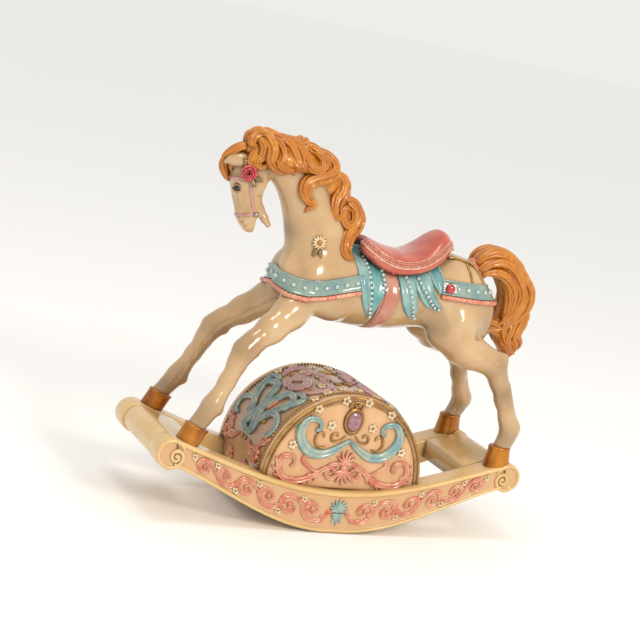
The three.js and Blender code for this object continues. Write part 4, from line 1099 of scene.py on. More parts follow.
MANE_CORE = [(-71, 0, 187.4, 5.4), (-65, 0, 189.4, 6.4), (-57, 0, 188, 7.0), (-48, 0, 186.6, 7.8),
             (-38, 0, 183, 8.2),
             (-30, 0, 178.5, 8.0), (-25, 0, 171.5, 7.0), (-19, 0, 164.5, 7.4), (-14, 0, 158, 6.6),
             (-11.5, 0, 151, 4.6)]
# half width, height, spots (x, z) from root to tip
MANE_LOCKS = [
    (3.3, 3.2, [(-74.3, 191.2), (-71.8, 194.6), (-68.5, 195), (-66.6, 192.4), (-65.4, 188.9), (-65, 184),
                (-61, 180.4), (-55.9, 179.4), (-52.4, 180.2), (-50.6, 177.8)]),
    (2.7, 2.9, [(-72.8, 193.9), (-69.9, 191.8), (-68.9, 188.9), (-69, 184.8), (-71.2, 181.4), (-68.4, 179.4),
                (-65.2, 182.6)]),
    (2.2, 2.6, [(-74.2, 190.8), (-71.7, 187.8), (-73.2, 184), (-73.9, 180.6), (-71, 178.8), (-67.6, 180.4)]),
    (2.6, 2.8, [(-65, 195), (-61.4, 192), (-59.4, 186.9), (-60.4, 182.8), (-56.4, 180.6), (-51.8, 181.4)]),
    (3.6, 2.6, [(-60, 195), (-55.6, 193), (-53.4, 189.3), (-51.4, 184.8), (-49, 182.6)]),
    (3.4, 2.6, [(-54, 194.7), (-50.4, 192.5), (-48.4, 188.5), (-47.9, 184.5), (-46, 182)]),
    (2.6, 2.8, [(-49, 194.4), (-47.6, 190.9), (-46, 186.2), (-42.6, 183.2), (-38.4, 183.4), (-36.4, 186.6),
                (-38.6, 189.6), (-42.6, 190.9)]),
    (2.4, 2.6, [(-47, 194), (-41.5, 192.9), (-36.4, 189.6), (-34.4, 186), (-37.4, 182.8), (-42, 183.6)]),
    (3.2, 3.0, [(-40, 192.2), (-32.6, 190.2), (-28.4, 186.4), (-29.2, 182.4), (-34.6, 180.4), (-40.4, 178.2),
                (-44, 175.2), (-44.5, 171), (-41.8, 167), (-37.9, 165.3), (-40.2, 163), (-41.8, 160.4)]),
    (2.5, 2.6, [(-27.2, 181.6), (-31.4, 178.6), (-36.5, 177), (-40.6, 175), (-42, 171), (-40.4, 167.8),
                (-37, 165.8)]),
    (2.4, 2.6, [(-26, 185.4), (-28, 180.4), (-32, 178), (-36.6, 178.6)]),
    (3.2, 3.0, [(-28.7, 182), (-23, 180.2), (-21.2, 177.4), (-21.9, 173), (-24.6, 169), (-25.2, 164),
                (-22.9, 160), (-18.5, 159.4)]),
    (2.5, 2.7, [(-24.6, 179.4), (-19.4, 177.6), (-18.6, 174), (-20.6, 169.6), (-21.4, 165), (-19.4, 161)]),
    (3.2, 3.0, [(-20.6, 170.8), (-13.4, 168.4), (-9.8, 164), (-9.8, 158.6), (-13.4, 155.8), (-17.6, 158),
                (-19.6, 162.4), (-17.4, 165.4), (-14.6, 163.8)]),
    (2.4, 2.6, [(-17.5, 168.4), (-12.6, 165.4), (-11.2, 160), (-14.4, 156.4)]),
    (2.9, 2.8, [(-8.6, 159), (-11, 155.6), (-14.3, 152.4), (-16.2, 148), (-16.2, 143.5), (-13, 140.9),
                (-9.4, 140.6)]),
    (2.3, 2.6, [(-7.4, 156.4), (-9.6, 152.6), (-11.8, 148.8), (-13, 144.6), (-11.4, 141.6)]),
]
CREST_LOCKS = [
    (3.4, 3.4, [(-74.8, 188.2), (-73.3, 192.4), (-69.5, 193.9), (-64, 195.3), (-58.5, 193.2), (-54, 192)]),
    (3.6, 3.2, [(-66, 193), (-58, 193.7), (-50, 193.2), (-43, 192.1), (-38, 188.8)]),
    (3.3, 3.0, [(-48, 192.8), (-46.6, 193.9), (-45.4, 197.3)]),
    (3.6, 3.2, [(-46, 191.8), (-38, 189), (-31.5, 187), (-27.4, 184.4), (-25.6, 180), (-27, 176)]),
    (3.4, 3.2, [(-31, 183), (-25, 178.6), (-20.4, 175.8), (-17.8, 172), (-18.6, 167.6)]),
    (3.2, 3.2, [(-21, 170), (-14, 167.6), (-9, 163.8), (-6.6, 158.6), (-7.6, 153), (-10.4, 149)]),
]
TAIL_CORE = [(68, 0, 141, 5.4), (74, 0, 147, 5.8), (83, 0, 148.2, 6.2), (92, 0, 143.4, 6.8), (98.6, 0, 134, 7.4),
             (99.6, 0, 125, 7.4), (97, 0, 116, 6.6), (96.6, 0, 107, 6.0), (99.6, 0, 100.5, 3.8)]
# half width, height, y, spots (x, z)
TAIL_LOCKS = [
    (3.4, 3.2, 4.4, [(67, 145), (71, 150.4), (77, 152.6), (84.4, 151.8), (91.5, 147.6), (98, 141), (103.4, 134.4),
                     (104.6, 127.2), (101, 119.4), (93, 113), (84.4, 110.6), (78.4, 111)]),
    (3.4, 3.2, 5.6, [(67.7, 142), (73.4, 146.4), (80.4, 148.4), (87.4, 146.2), (94, 140), (98.2, 133),
                     (97.5, 125.6), (92.9, 118.7), (87, 113)]),
    (3.1, 3.0, 5.8, [(69.9, 140.4), (76.4, 142.6), (83.1, 142), (89.3, 137.6), (93.2, 131.2), (92.9, 123.5),
                     (89.6, 116.6)]),
    (2.6, 2.8, 4.6, [(84.4, 139.6), (89.9, 134.4), (91.6, 128), (91.2, 121.6), (90.4, 115)]),
    (3.2, 3.0, 3.8, [(104, 126), (104.4, 120), (102.4, 113.6), (99.6, 107.6), (102.4, 102.4), (100.6, 96.6)]),
    (3.0, 3.0, 4.2, [(95, 119.4), (92.4, 112.6), (93.6, 106.4), (97.8, 100.8), (100.2, 95.6)]),
    (2.7, 2.8, 2.8, [(105.2, 121), (105, 115.4), (102.8, 108.8), (105.4, 104.8), (104.6, 100.2)]),
    (2.8, 2.8, 4.6, [(98.6, 117.4), (97, 111), (95.6, 105.6), (98.8, 101.2), (103, 98.4)]),
    (2.5, 2.6, 3.8, [(76, 115.8), (82, 114.9), (87.4, 113.6), (91, 110.4), (92.8, 105)]),
    (2.4, 2.6, 3.4, [(76, 110.4), (80.6, 109.6), (85.4, 110.8), (89.6, 108.4), (92.6, 103)]),
]
TAIL_RIDGE = [
    (3.6, 3.4, [(67.4, 146), (72.6, 150.6), (79, 152.4), (86.4, 151.2), (93.6, 146.8), (100, 140), (105.4, 133),
                (106.6, 126.6), (104.2, 120.6)]),
    (3.2, 3.2, [(106.6, 129), (104.6, 121), (104.8, 114.6), (102.4, 108), (104.6, 102.6), (102, 96.6)]),
    (2.8, 3.0, [(76.6, 141.6), (83, 141.4), (88.6, 136.4), (91.2, 129.8), (91, 121), (88.6, 114.6), (82.6, 113.6),
                (77, 113.4)]),
]
FORELOCKS = [
    (2.7, 2.4, [(-72, -3.4, 187.6), (-76.6, -4.6, 187.4), (-80.3, -5, 185), (-83.9, -4.6, 181.4),
                (-85.3, -3.8, 178.4)]),
    (2.8, 2.4, [(-72, 0.5, 188), (-77.4, 0.2, 186.4), (-81.3, 0, 182.4), (-84.1, 0, 176.4), (-82.3, -0.2, 171.4),
                (-79.3, -0.4, 168.4)]),
    (2.6, 2.3, [(-72, 4.2, 186.4), (-77.4, 4.6, 183.4), (-81.9, 4.6, 178.4), (-81.5, 4.2, 172.8),
                (-78.5, 3.6, 169.4)]),
    (2.6, 2.4, [(-71, -2, 185), (-76.2, -2.4, 182.6), (-79.7, -2.4, 178.2), (-79.5, -1.8, 173)]),
    (2.6, 2.4, [(-71, 1.6, 184.6), (-76, 1.8, 181.6), (-78.7, 1.8, 177), (-78.3, 1.6, 172)]),
]
MANE_OUT, RIDGE_OUT = (0, -1.0, 0.25), (0, -0.35, 1.0)


def hair_paint(name, base, shade):
    """Honey paint over combed grooves, with streaks that a stretched noise draws along the hair."""
    material = enamel(name, base, shade, (128, 62, 8), 0.75, 0.0018, 90, 0.26, coat=0.35, bump=0.1)
    nodes, links = material.node_tree.nodes, material.node_tree.links
    wash = next(n for n in nodes if n.type == "GROUP")
    place, stretch, streak, ramp = [nodes.new(kind) for kind in (
        "ShaderNodeTexCoord", "ShaderNodeMapping", "ShaderNodeTexNoise", "ShaderNodeValToRGB")]
    stretch.inputs["Scale"].default_value = (1.0, 0.7, 0.45)
    streak.inputs["Scale"].default_value = 420.0
    streak.inputs["Detail"].default_value = 4.0
    ramp.color_ramp.elements[0].position, ramp.color_ramp.elements[1].position = 0.36, 0.62
    for stop, chip in zip(ramp.color_ramp.elements, (shade, base)):
        stop.color = (*paint(*chip), 1)
    links.new(place.outputs["Object"], stretch.inputs["Vector"])
    links.new(stretch.outputs["Vector"], streak.inputs["Vector"])
    links.new(streak.outputs["Fac"], ramp.inputs["Fac"])
    links.new(ramp.outputs["Color"], wash.inputs["Base"])
    return material


honey = hair_paint("honey_hair", (234, 158, 34), (208, 124, 14))
mane_solid = Sculpt(axis_steps((-84, 2, 0.9)), axis_steps((-16, 16, 0.9)), axis_steps((138, 206, 0.9)))
mane_solid.chain(MANE_CORE, flat=0.8, soft=3)
for side in (-1, 1):
    mane_solid.chain([(-67, side * 5.5, 190, 4), (-64, side * 7, 186, 3.4), (-56, side * 8, 184.6, 3.4),
                      (-48, side * 8.4, 184, 3), (-38, side * 8.6, 182.5, 3)], soft=4)
tail_solid = Sculpt(axis_steps((58, 112, 0.9)), axis_steps((-14, 14, 0.9)), axis_steps((90, 160, 0.9)))
tail_solid.chain(TAIL_CORE, flat=0.84, soft=3)
tail_solid.chain([(96, 0, 113, 5), (88, 0, 112.4, 3.2), (79, 0, 112.6, 2.6)], flat=0.9, soft=3)
for name, core in (("mane", mane_solid), ("tail", tail_solid)):
    points, faces = core.mesh()
    piece = add_piece(f"{name}_core", smooth_points(points, faces, 2), faces, honey)

mane, tail, forelock = Pile(), Pile(), Pile()
for side in (-1, 1):
    facing = np.array([1, -side, 1])
    for half_width, height, spots in MANE_LOCKS:
        lock(mane, locks_on((solid, mane_solid), spots, side, 0.5), half_width, height, MANE_OUT * facing)
    for half_width, height, spots in CREST_LOCKS:
        path = np.array([(x, side * 3.4, z) for x, z in spots])
        lock(mane, path, half_width, height, RIDGE_OUT * facing, 6)
    for half_width, height, depth, spots in TAIL_LOCKS:
        path = np.array([(x, side * depth, z) for x, z in spots])
        lock(tail, path, half_width, height, MANE_OUT * facing, 6, 1.4)
for half_width, height, spots in TAIL_RIDGE:
    lock(tail, np.array([(x, 0, z) for x, z in spots]), half_width, height, (0.0, -1, 0.1), 6, 1.2)
turned = np.array([[solid.cos, -solid.sin], [solid.sin, solid.cos]])


def on_head(points):
    """Points given in the head's own turned frame, as points of the whole horse's frame."""
    points = np.array(points, float)
    points[..., :2] = (points[..., :2] - HEAD_PIVOT) @ turned.T + HEAD_PIVOT
    return points


for half_width, height, spots in FORELOCKS:
    lock(forelock, on_head(spots), half_width, height, (-1, -0.4, 0.4), 5, 1.0, 36)
mane.piece("mane_locks", honey, "hair_resin", "mane")
tail.piece("tail_locks", honey, "hair_resin", "tail")
forelock.piece("forelock_locks", honey, "hair_resin", "forelock")


# ---- Saddle ------------------------------------------------------------------------------------
# A coral seat with a raised cantle, modelled with the horse and painted. A border of two rows of
# small beads between fine ribs runs along its whole edge.
# x, z of the seat's middle line and x, y, z of its edge, from pommel to cantle
SADDLE_STATIONS = np.array([
    (-1.6, 150.2, -4.6, 5.0, 149.6), (-0.6, 151.6, -5.6, 10.6, 147.6), (3.0, 150.6, -2.6, 14.4, 144.6),
    (9.0, 148.8, 3.4, 16.6, 140.6), (15.5, 147.6, 11.0, 17.6, 138.0), (22.6, 147.2, 19.0, 18.0, 138.0),
    (29.0, 149.2, 27.0, 17.8, 139.6), (34.4, 153.4, 34.0, 16.8, 142.2), (38.6, 157.8, 39.4, 15.0, 145.4),
    (42.6, 160.2, 43.8, 12.4, 149.0), (46.4, 158.8, 47.4, 8.6, 151.6), (49.4, 153.6, 49.6, 5.0, 151.4)])


def saddle_point(s, t):
    """Stations run smoothly along s; across t, from -1 at one edge to 1 at the other, a rounded
    arch: out by a sine and down by a cosine raised to a power, so the edges hang steeply."""
    fine = smooth_path(SADDLE_STATIONS, 400)
    middle_x, middle_z, edge_x, edge_y, edge_z = [
        np.interp(s, np.linspace(0, 1, 400), fine[:, k]) for k in range(5)]
    turn = np.pi / 2 * t
    drop = 1 - np.cos(turn) ** 0.8
    return np.stack([middle_x + (edge_x - middle_x) * drop, edge_y * np.sin(turn),
                     middle_z + (edge_z - middle_z) * drop], -1)


def saddle_rings():
    """The arch from edge to edge, then back underneath it, 2.6 lower and 0.86 as wide."""
    s = np.linspace(0, 1, 72)[:, None]
    t = np.sin(np.linspace(-np.pi / 2, np.pi / 2, 45))[None]
    over = saddle_point(s, t)
    under = over[:, ::-1][:, :44] * [1, 0.86, 1] - [0, 0, 2.6]
    return np.concatenate([over, under[:, 1:]], 1)


def path_chart(line, outward, across):
    """A chart along a 3-D line: u is the distance along it, v across it, h outwards from it."""
    walk = walked(line)

    def place(u, v, h):
        spot, out, side = [np.stack([np.interp(u, walk, a[:, k]) for k in range(3)], -1)
                           for a in (line, outward, across)]
        return spot + out * np.asarray(h)[..., None] + side * np.asarray(v)[..., None]
    return place, walk[-1]


seat_paint = enamel("saddle_paint", (208, 90, 72), (224, 124, 98), (140, 48, 38), 0.7, 0.003, 95, 0.24, coat=0.6,
                    bump=0.2)
lace_paint = enamel("lace_paint", (250, 206, 184), (232, 142, 122), (170, 70, 56), 0.7, 0.0012, 420, 0.2)
saddle, lace = Pile(), Pile()
saddle.rings(saddle_rings())
for side in (-1, 1):
    s = np.linspace(0.02, 0.985, 160)
    lower, upper = saddle_point(s, side * 0.9), saddle_point(s, side * 0.62)
    line = 0.62 * lower + 0.38 * upper
    across = unit(lower - upper)
    outward = unit(np.cross(np.gradient(line, axis=0), across)) * side
    chart, length = path_chart(line, outward, across)
    for v, radius in ((-1.9, 0.45), (1.9, 0.6)):
        stroke(lace, chart, [(0.5, v), (length / 2, v), (length - 0.5, v)], (radius, radius), 0.9, 120, ends=0.01)
    for row, v in enumerate((-0.85, 0.75)):
        for u in np.arange(1.5 + 0.6 * row, length - 1, 1.32):
            mound(lace, chart, (u, v), 0.66, 0.85, 6)
saddle.piece("saddle_seat", seat_paint, "coral_resin", "saddle")
lace.piece("saddle_lace", lace_paint, "coral_resin")


# ---- Saddle cloth and girth --------------------------------------------------------------------
# Five pointed, fluted tabs, three blue and two teal, hang from each side of the saddle with rows
# of pearls along them and a pink girth strap between them. All of it is cast on the horse.
def tab(left, right, side, thick, flutes, rows=54, columns=25, reach=34.0):
    """Closed tab laid on the horse: across it the line from the left edge to the right edge, down
    it both edges' curves, found on the horse by lines of sight from the side, then raised by a
    crown and flutes and closed underneath."""
    a, b = smooth_path(left, rows)[:, None], smooth_path(right, rows)[:, None]
    u = np.linspace(0, 1, columns)[None, :, None]
    flat = a + (b - a) * u
    starts = np.stack([flat[..., 0], np.full(flat.shape[:2], side * reach), flat[..., 1]], -1)
    share = solid.cast(starts, starts * [1, 0, 1])
    for _ in range(3):
        share = (np.roll(share, 1, 0) + 2 * share + np.roll(share, -1, 0)) / 4 * (share < 2)
        share[0], share[-1] = share[1], share[-2]
    depth = reach * (1 - share)
    edge = (1 - (2 * u[..., 0] - 1) ** 2) ** 0.35
    down = np.linspace(0, 1, rows)[:, None]
    folds = 0.55 * np.cos(2 * np.pi * flutes * u[..., 0]) * np.sin(np.pi * down) ** 0.5
    top = depth + 0.1 + (thick + folds) * edge * np.minimum(1, (1 - down) * 9) ** 0.5
    over = np.stack([flat[..., 0], side * top, flat[..., 1]], -1)
    under = np.stack([flat[..., 0], side * (depth - 1.2), flat[..., 1]], -1)
    return np.concatenate([over, under[:, ::-1][:, 1:-1]], 1)


def seen_line(spots, side, lift, count, reach=34.0):
    """A line of (x, z) spots found on the horse from the side, with its outward and cross directions."""
    flat = smooth_path(spots, count)
    starts = np.stack([flat[:, 0], np.full(count, side * reach), flat[:, 1]], -1)
    depth = reach * (1 - solid.cast(starts, starts * [1, 0, 1])) + lift
    bell = np.ones(7) / 7
    depth = np.convolve(np.pad(depth, 3, "edge"), bell, "valid")
    line = np.stack([flat[:, 0], side * depth, flat[:, 1]], -1)
    run = unit(np.gradient(line, axis=0))
    across = unit(np.cross(run, [0, side, 0.15]))
    outward = unit(np.cross(across, run))
    return line, outward * np.sign(outward[:, 1:2] * side), across


def pearl_line(pile, spots, side, lift, step, radius, first=0.0):
    """Pearls every step millimetres along a line of spots on the horse's side."""
    chart, length = path_chart(*seen_line(spots, side, lift, 90))
    for u in np.arange(radius + first, length, step):
        mound(pile, chart, (u, 0), radius, 1.1 * radius, 10)


TABS = {
    "blue": [([(-9.0, 146), (-7.3, 131), (-3.3, 119.4), (2.8, 111.2)],
              [(-0.6, 147), (0.4, 131.6), (1.0, 124), (3.4, 111.4)], 1.5, 1.5),
             ([(14.6, 141), (18.1, 124.4), (23.4, 116.2), (31.0, 113)],
              [(24.4, 141), (26.9, 130), (28.8, 122.6), (31.8, 113.8)], 1.7, 1.5),
             ([(22.6, 141), (26.8, 129.4), (33.6, 121.8), (43.2, 119.6)],
              [(36.6, 143), (36.8, 133.4), (38.4, 128), (44.2, 121)], 1.4, 1.5)],
    "teal": [([(-1.6, 147), (-0.4, 132), (0.6, 124), (3.2, 112.6)],
              [(8.6, 142), (9.2, 129), (6.6, 122), (4.2, 112.6)], 1.1, 1),
             ([(30, 144), (33, 138), (36.6, 133), (40.4, 128.6)],
              [(40, 147.6), (42, 140), (42.8, 134), (42.2, 129)], 1.0, 1)],
}
STRAP_EDGES = ([(7.4, 142), (7.8, 127), (6.6, 114.6), (5.6, 107.4)],
               [(15, 142), (16.4, 123), (14.6, 111.4), (12.6, 107)])
PEARL_LINES = [[(-2.6, 142), (-1.2, 131.6), (-0.1, 124.1), (1.2, 116.9), (2.7, 112.6)],
               [(6.0, 137.6), (7.6, 127.6)],
               [(19.2, 139), (21.9, 130.4), (24.8, 122.3), (27.2, 116.4), (30.6, 113.8)],
               [(25.2, 139.4), (29, 132.6), (33.9, 126.4), (38.6, 121.9), (42.6, 120.6)]]
SEED_PEARL_LINES = [[(38.8, 144.6), (41.4, 138), (42.2, 132)], [(33.4, 140.6), (36.6, 134.6), (39.8, 130.2)]]
GIRTH_MIDDLE, GIRTH_HALF = 9.2, 3.7

teal = enamel("teal_paint", (96, 174, 186), (130, 192, 196), (36, 88, 98), 0.6, 0.002, 240, 0.22, coat=0.5,
              bump=0.2)
cloth = enamel("cloth_paint", (160, 204, 208), (120, 180, 194), (52, 100, 112), 0.6, 0.002, 120, 0.2, coat=0.7)
pink = enamel("pink_resin", (216, 158, 140), (206, 128, 110), (130, 60, 44), 0.8, 0.003, 80, 0.18, coat=0.8)
pearl = enamel("pearl_paint", (196, 222, 226), (226, 238, 236), (70, 116, 128), 0.7, 0.001, 200, 0.1, coat=1.0)


def girth_rings(x, half_width):
    """A band round under the belly: lines of sight towards the chest's axis from a half circle
    below it, crowned by a cosine across the band and closed underneath."""
    turn = np.radians(np.linspace(8, -188, 90))[:, None]
    v = np.linspace(-1, 1, 9)[None]
    ends = np.stack(np.broadcast_arrays(x + half_width * v, 0 * turn, 122 + 0 * turn), -1)
    starts = np.stack(np.broadcast_arrays(x + half_width * v, 34 * np.cos(turn), 122 + 34 * np.sin(turn)), -1)
    reach = 34 * (1 - solid.cast(starts, ends))[..., None]
    way = (starts - ends) / 34
    over = ends + way * (reach + 0.15 + 0.75 * np.cos(1.35 * v)[..., None])
    under = ends + way * (reach - 1.2)
    return np.concatenate([over, under[:, ::-1][:, 1:-1]], 1)


girth = Pile()
girth.rings(girth_rings(GIRTH_MIDDLE, GIRTH_HALF))
girth.piece("girth_band", pink, "pink_resin", "girth")
for hand, side in HANDS:
    blues, teals, straps, pearls = Pile(), Pile(), Pile(), Pile()
    for left, right, thick, flutes in TABS["blue"]:
        blues.rings(tab(left, right, side, thick, flutes))
    for left, right, thick, flutes in TABS["teal"]:
        teals.rings(tab(left, right, side, thick, flutes))
    straps.rings(tab(*STRAP_EDGES, side, 1.5, 1.0))
    for spots in PEARL_LINES:
        pearl_line(pearls, spots, side, 1.7, 2.75, 0.95)
    for spots in SEED_PEARL_LINES:
        pearl_line(pearls, spots, side, 1.3, 1.25, 0.5)
    blues.piece(f"cloth_{hand}_blue", cloth, "blue_resin", f"saddle_flap_{hand}")
    teals.piece(f"cloth_{hand}_teal", teal, "blue_resin")
    straps.piece(f"girth_{hand}_strap", pink, "pink_resin")
    pearls.piece(f"cloth_{hand}_pearls", pearl, "blue_resin")


# ---- Breast band and breeching -----------------------------------------------------------------
# Two blue straps with thin raised edges, studded with pearls and finished below with a twisted
# coral cord. One crosses the chest between the shoulders, the other goes round under the tail.
def round_rays(side_x, turn_x, heights, way, reach=46.0):
    """Lines of sight for a band: from the side along x as far as turn_x, then round the end of
    the body on a quarter circle, to the other side, heights running from the side to the end."""
    along = np.linspace(side_x, turn_x, 26)[:-1]
    angle = np.radians(np.linspace(0, 90, 40))
    x = np.concatenate([along, turn_x + way * reach * np.sin(angle)])
    y = np.concatenate([np.full(25, -reach), -reach * np.cos(angle)])
    foot = np.concatenate([along, np.full(40, turn_x)])
    z = np.interp(np.linspace(0, 1, len(x)), np.linspace(0, 1, len(heights)), heights)
    half_starts, half_ends = np.stack([x, y, z], -1), np.stack([foot, 0 * x, z], -1)
    mirror = [1, -1, 1]
    return (np.concatenate([half_starts, half_starts[-2::-1] * mirror]),
            np.concatenate([half_ends, half_ends[-2::-1] * mirror]))


def banded(starts, ends, offset):
    """Where lines of sight moved up by offset meet the horse, bridging hollows and evened out along
    the band, and the outward direction there."""
    lift = np.array([0, 0, 1.0]) * offset
    share = solid.cast(starts + lift, ends + lift, 140)
    wide = np.pad(share, 3, "edge")
    share = np.min([wide[k + 1:k + 1 + len(share)] for k in range(5)], axis=0)
    for _ in range(8):
        inner = (share[:-2] + 2 * share[1:-1] + share[2:]) / 4
        share = np.concatenate([share[:1], inner, share[-1:]])
    return starts + lift + (ends - starts) * share[:, None], unit(starts - ends)


def strap_rings(starts, ends, half_width, thick):
    """A band laid on the horse: a flat middle with a raised rib along each edge, closed below."""
    profile = [(-1, -0.4), (-1, 0.8), (-0.93, 1.25), (-0.84, 1.25), (-0.76, 0.8), (-0.4, 0.75), (0, 0.8),
               (0.4, 0.75), (0.76, 0.8), (0.84, 1.25), (0.93, 1.25), (1, 0.8), (1, -0.4), (0, -1.4)]
    rings = []
    for v, h in profile:
        spot, out = banded(starts, ends, half_width * v)
        rings.append(spot + out * (thick * h))
    return np.stack(rings, 1)


def twisted_cord(pile, line, radius, pitch, columns=14):
    """A two-strand cord: a circle whose radius swells at two opposite sides, the swelling turning
    round the cord once every pitch millimetres."""
    run = unit(np.gradient(line, axis=0))
    walk = walked(line)
    side = unit(np.cross(run, [0, 0, 1.0]))
    up = np.cross(side, run)
    turn = circle_angles(columns)
    thick = radius * (0.86 + 0.24 * np.abs(np.cos(turn - np.pi * walk[:, None] / pitch)))
    ring = side[:, None] * np.cos(turn)[:, None] + up[:, None] * np.sin(turn)[:, None]
    pile.rings(line[:, None] + ring * thick[..., None])


band_blue = enamel("band_blue", (158, 186, 180), (126, 168, 176), (50, 90, 96), 0.65, 0.002, 130, 0.2, coat=0.7)
BANDS = [("breast_band", round_rays(-5.6, -30, (130.2, 127.4, 125.0, 123.9, 124.2, 125.6, 127.0), -1), 4.0, 5.4),
         ("breeching_band", round_rays(41.5, 60, (133.4, 133.3, 133.1, 132.8, 132.2, 131.6), 1), 3.8, 5.2)]
STUD_PITCH, STUD_RADIUS = 5.9, 1.15
CORD_RADIUS, CORD_PITCH = 1.25, 2.6
for name, (starts, ends), half_width, drop in BANDS:
    strap, trim, studs = Pile(), Pile(), Pile()
    strap.rings(strap_rings(starts, ends, half_width, 1.0))
    spot, out = banded(starts, ends, -drop)
    dense = smooth_path(spot + out * 0.55, 420)
    twisted_cord(trim, dense, CORD_RADIUS, CORD_PITCH)
    spot, out = banded(starts, ends, 0)
    chart, length = path_chart(spot + out * 0.75, out, np.broadcast_to([0, 0, 1.0], spot.shape))
    for u in np.arange(3.0, length - 2, STUD_PITCH):
        mound(studs, chart, (u, 0), STUD_RADIUS, STUD_RADIUS, 12)
    strap.piece(f"{name}_strap", band_blue, "blue_resin", name)
    trim.piece(f"{name}_cord", coral, "coral_resin")
    studs.piece(f"{name}_pearls", pearl, "blue_resin")

ruby = enamel("ruby_paint", (196, 28, 34), (226, 60, 52), (70, 0, 6), 0.8, 0.0012, 200, 0.06, coat=1.0)
for hand, side in HANDS:
    jewel = Pile()
    chart, length = path_chart(*seen_line([(42.6, 133), (45.4, 133), (48.4, 133)], side, 1.5, 12))
    turn = np.linspace(0, 2 * np.pi, 32, endpoint=False)
    grow, out = np.array([(0.1, -1.4), (1.0, -1.4), (1.04, 0.1), (0.98, 0.8), (0.84, 1.3), (0.6, 1.7), (0.3, 1.9),
                          (0.06, 1.95)]).T
    jewel.rings(chart(length / 2 + 2.5 * grow[:, None] * np.cos(turn), 2.5 * grow[:, None] * np.sin(turn),
                      out[:, None] + 0 * turn))
    jewel.piece(f"harness_jewel_{hand}_stone", ruby, "red_jewel", f"harness_jewel_{hand}")


# ---- Crupper and tail wrap ---------------------------------------------------------------------
# Thin gilt straps cast over the croup from the saddle to a ribbed coral collar round the dock,
# which hides the joint between the tail and the body.
BODY_AXIS_Z = 124.0            # height of the line that the straps are found towards


def narrow_strap(pile, spots, half_width, thick):
    """A narrow strap through rough 3-D spots: each is looked at from outside, straight towards the
    body's long axis, to find the surface, and the strap is a low arch across."""
    line = smooth_path(spots, 40)
    ends = line * [1, 0, 0] + [0, 0, BODY_AXIS_Z]
    spot, out = banded(ends + 2.0 * (line - ends), ends, 0)
    run = unit(np.gradient(spot, axis=0))
    across = unit(np.cross(out, run))
    chart, length = path_chart(spot, out, across)
    stroke(pile, chart, [(0.2, 0), (length / 2, 0), (length - 0.2, 0)], (half_width, half_width), thick, 40,
           ends=0.02)


CROUP = [(46.8, 8, 151.2), (53.7, 7.6, 148.6), (59.7, 7.4, 146.2), (64.5, 8.0, 141.6), (67.2, 10.6, 136.4)]
CROUP_BRANCH = [(58.4, 7.4, 147), (58.8, 12, 143.4), (59.4, 17.4, 137.4)]
crupper = Pile()
for side in (-1, 1):
    for spots in (CROUP, CROUP_BRANCH):
        narrow_strap(crupper, np.array(spots) * [1, side, 1], 0.8, 0.7)
crupper.piece("crupper_straps", gilt, "gold_paint")

# distance along the dock and radius of each ring of the collar
COLLAR = np.array([(-1.5, 5.0), (-1.2, 7.4), (-0.4, 7.9), (0.3, 7.5), (0.9, 7.0), (1.5, 7.5), (2.1, 7.2),
                   (2.6, 6.6),
                   (3.1, 6.9), (3.7, 6.8), (4.2, 6.2), (4.6, 6.5), (5.3, 6.6), (5.8, 6.0), (5.9, 4.5)])
collar = Pile()
turn = np.linspace(0, 2 * np.pi, 60, endpoint=False)
dock, rise = unit(np.array([0.82, 0, 0.57])), unit(np.array([-0.57, 0, 0.82]))
crimp = COLLAR[:, 1:] * (1 + 0.02 * np.cos(15 * turn))
ring = rise * (crimp * np.cos(turn))[..., None] + np.array([0, 0.9, 0]) * (crimp * np.sin(turn))[..., None]
collar.rings(np.array([67.6, 0, 140.2]) + dock * COLLAR[:, None, :1] + ring)
collar.piece("tail_wrap_collar", coral, "coral_resin", "tail_wrap")


# ---- Head: eyes, ears, bridle and flowers ------------------------------------------------------
# Brown glass-like eyes under painted lids, leaf-shaped ears laid forward, pink bridle straps with
# a small silver stud at the bit, and a rose with bronze leaves tucked behind each brow.
def head_hits(starts, ends):
    """Where lines of sight given in the head's own frame meet the horse, and their directions."""
    a, b = on_head(starts), on_head(ends)
    share = solid.cast(a, b, 140)
    for _ in range(3):
        inner = (share[:-2] + 2 * share[1:-1] + share[2:]) / 4
        share = np.concatenate([share[:1], inner, share[-1:]])
    return a + (b - a) * share[:, None], unit(a - b)


def head_strap(pile, starts, ends, half_width, thick, samples=60):
    """A low arched strap on the head along the places where the lines of sight meet it."""
    spot, out = head_hits(smooth_path(starts, samples), smooth_path(ends, samples))
    across = unit(np.cross(out, unit(np.gradient(spot, axis=0))))
    chart, length = path_chart(spot, out, across)
    stroke(pile, chart, [(0.1, 0), (length / 2, 0), (length - 0.1, 0)], (half_width, half_width), thick, samples,
           ends=0.02)


def head_chart(spots, side, lift=0.0):
    """A chart on the head's side about one (x, z) spot: u forward to back, v up, h outwards."""
    x, z = spots
    spot, out = head_hits(np.array([(x, side * 18.0, z)] * 3), np.array([(x, 0.0, z)] * 3))
    back, up = np.array([solid.cos, solid.sin, 0]), np.array([0, 0, 1.0])

    def place(u, v, h):
        return spot[1] + np.asarray(u)[..., None] * back + np.asarray(v)[..., None] * up + (
            np.asarray(h)[..., None] + lift) * out[1]
    return place


def ellipsoid(pile, middle, half, rings=14, columns=28):
    """Half lengths times the unit sphere, rings from pole to pole, in the head's own frame."""
    polar = np.linspace(0.06, np.pi - 0.06, rings)[:, None]
    turn = circle_angles(columns)
    ball = np.stack([np.sin(polar) * np.cos(turn), np.cos(polar) + 0 * turn, np.sin(polar) * np.sin(turn)], -1)
    pile.rings(on_head(np.array(middle) + ball * half))


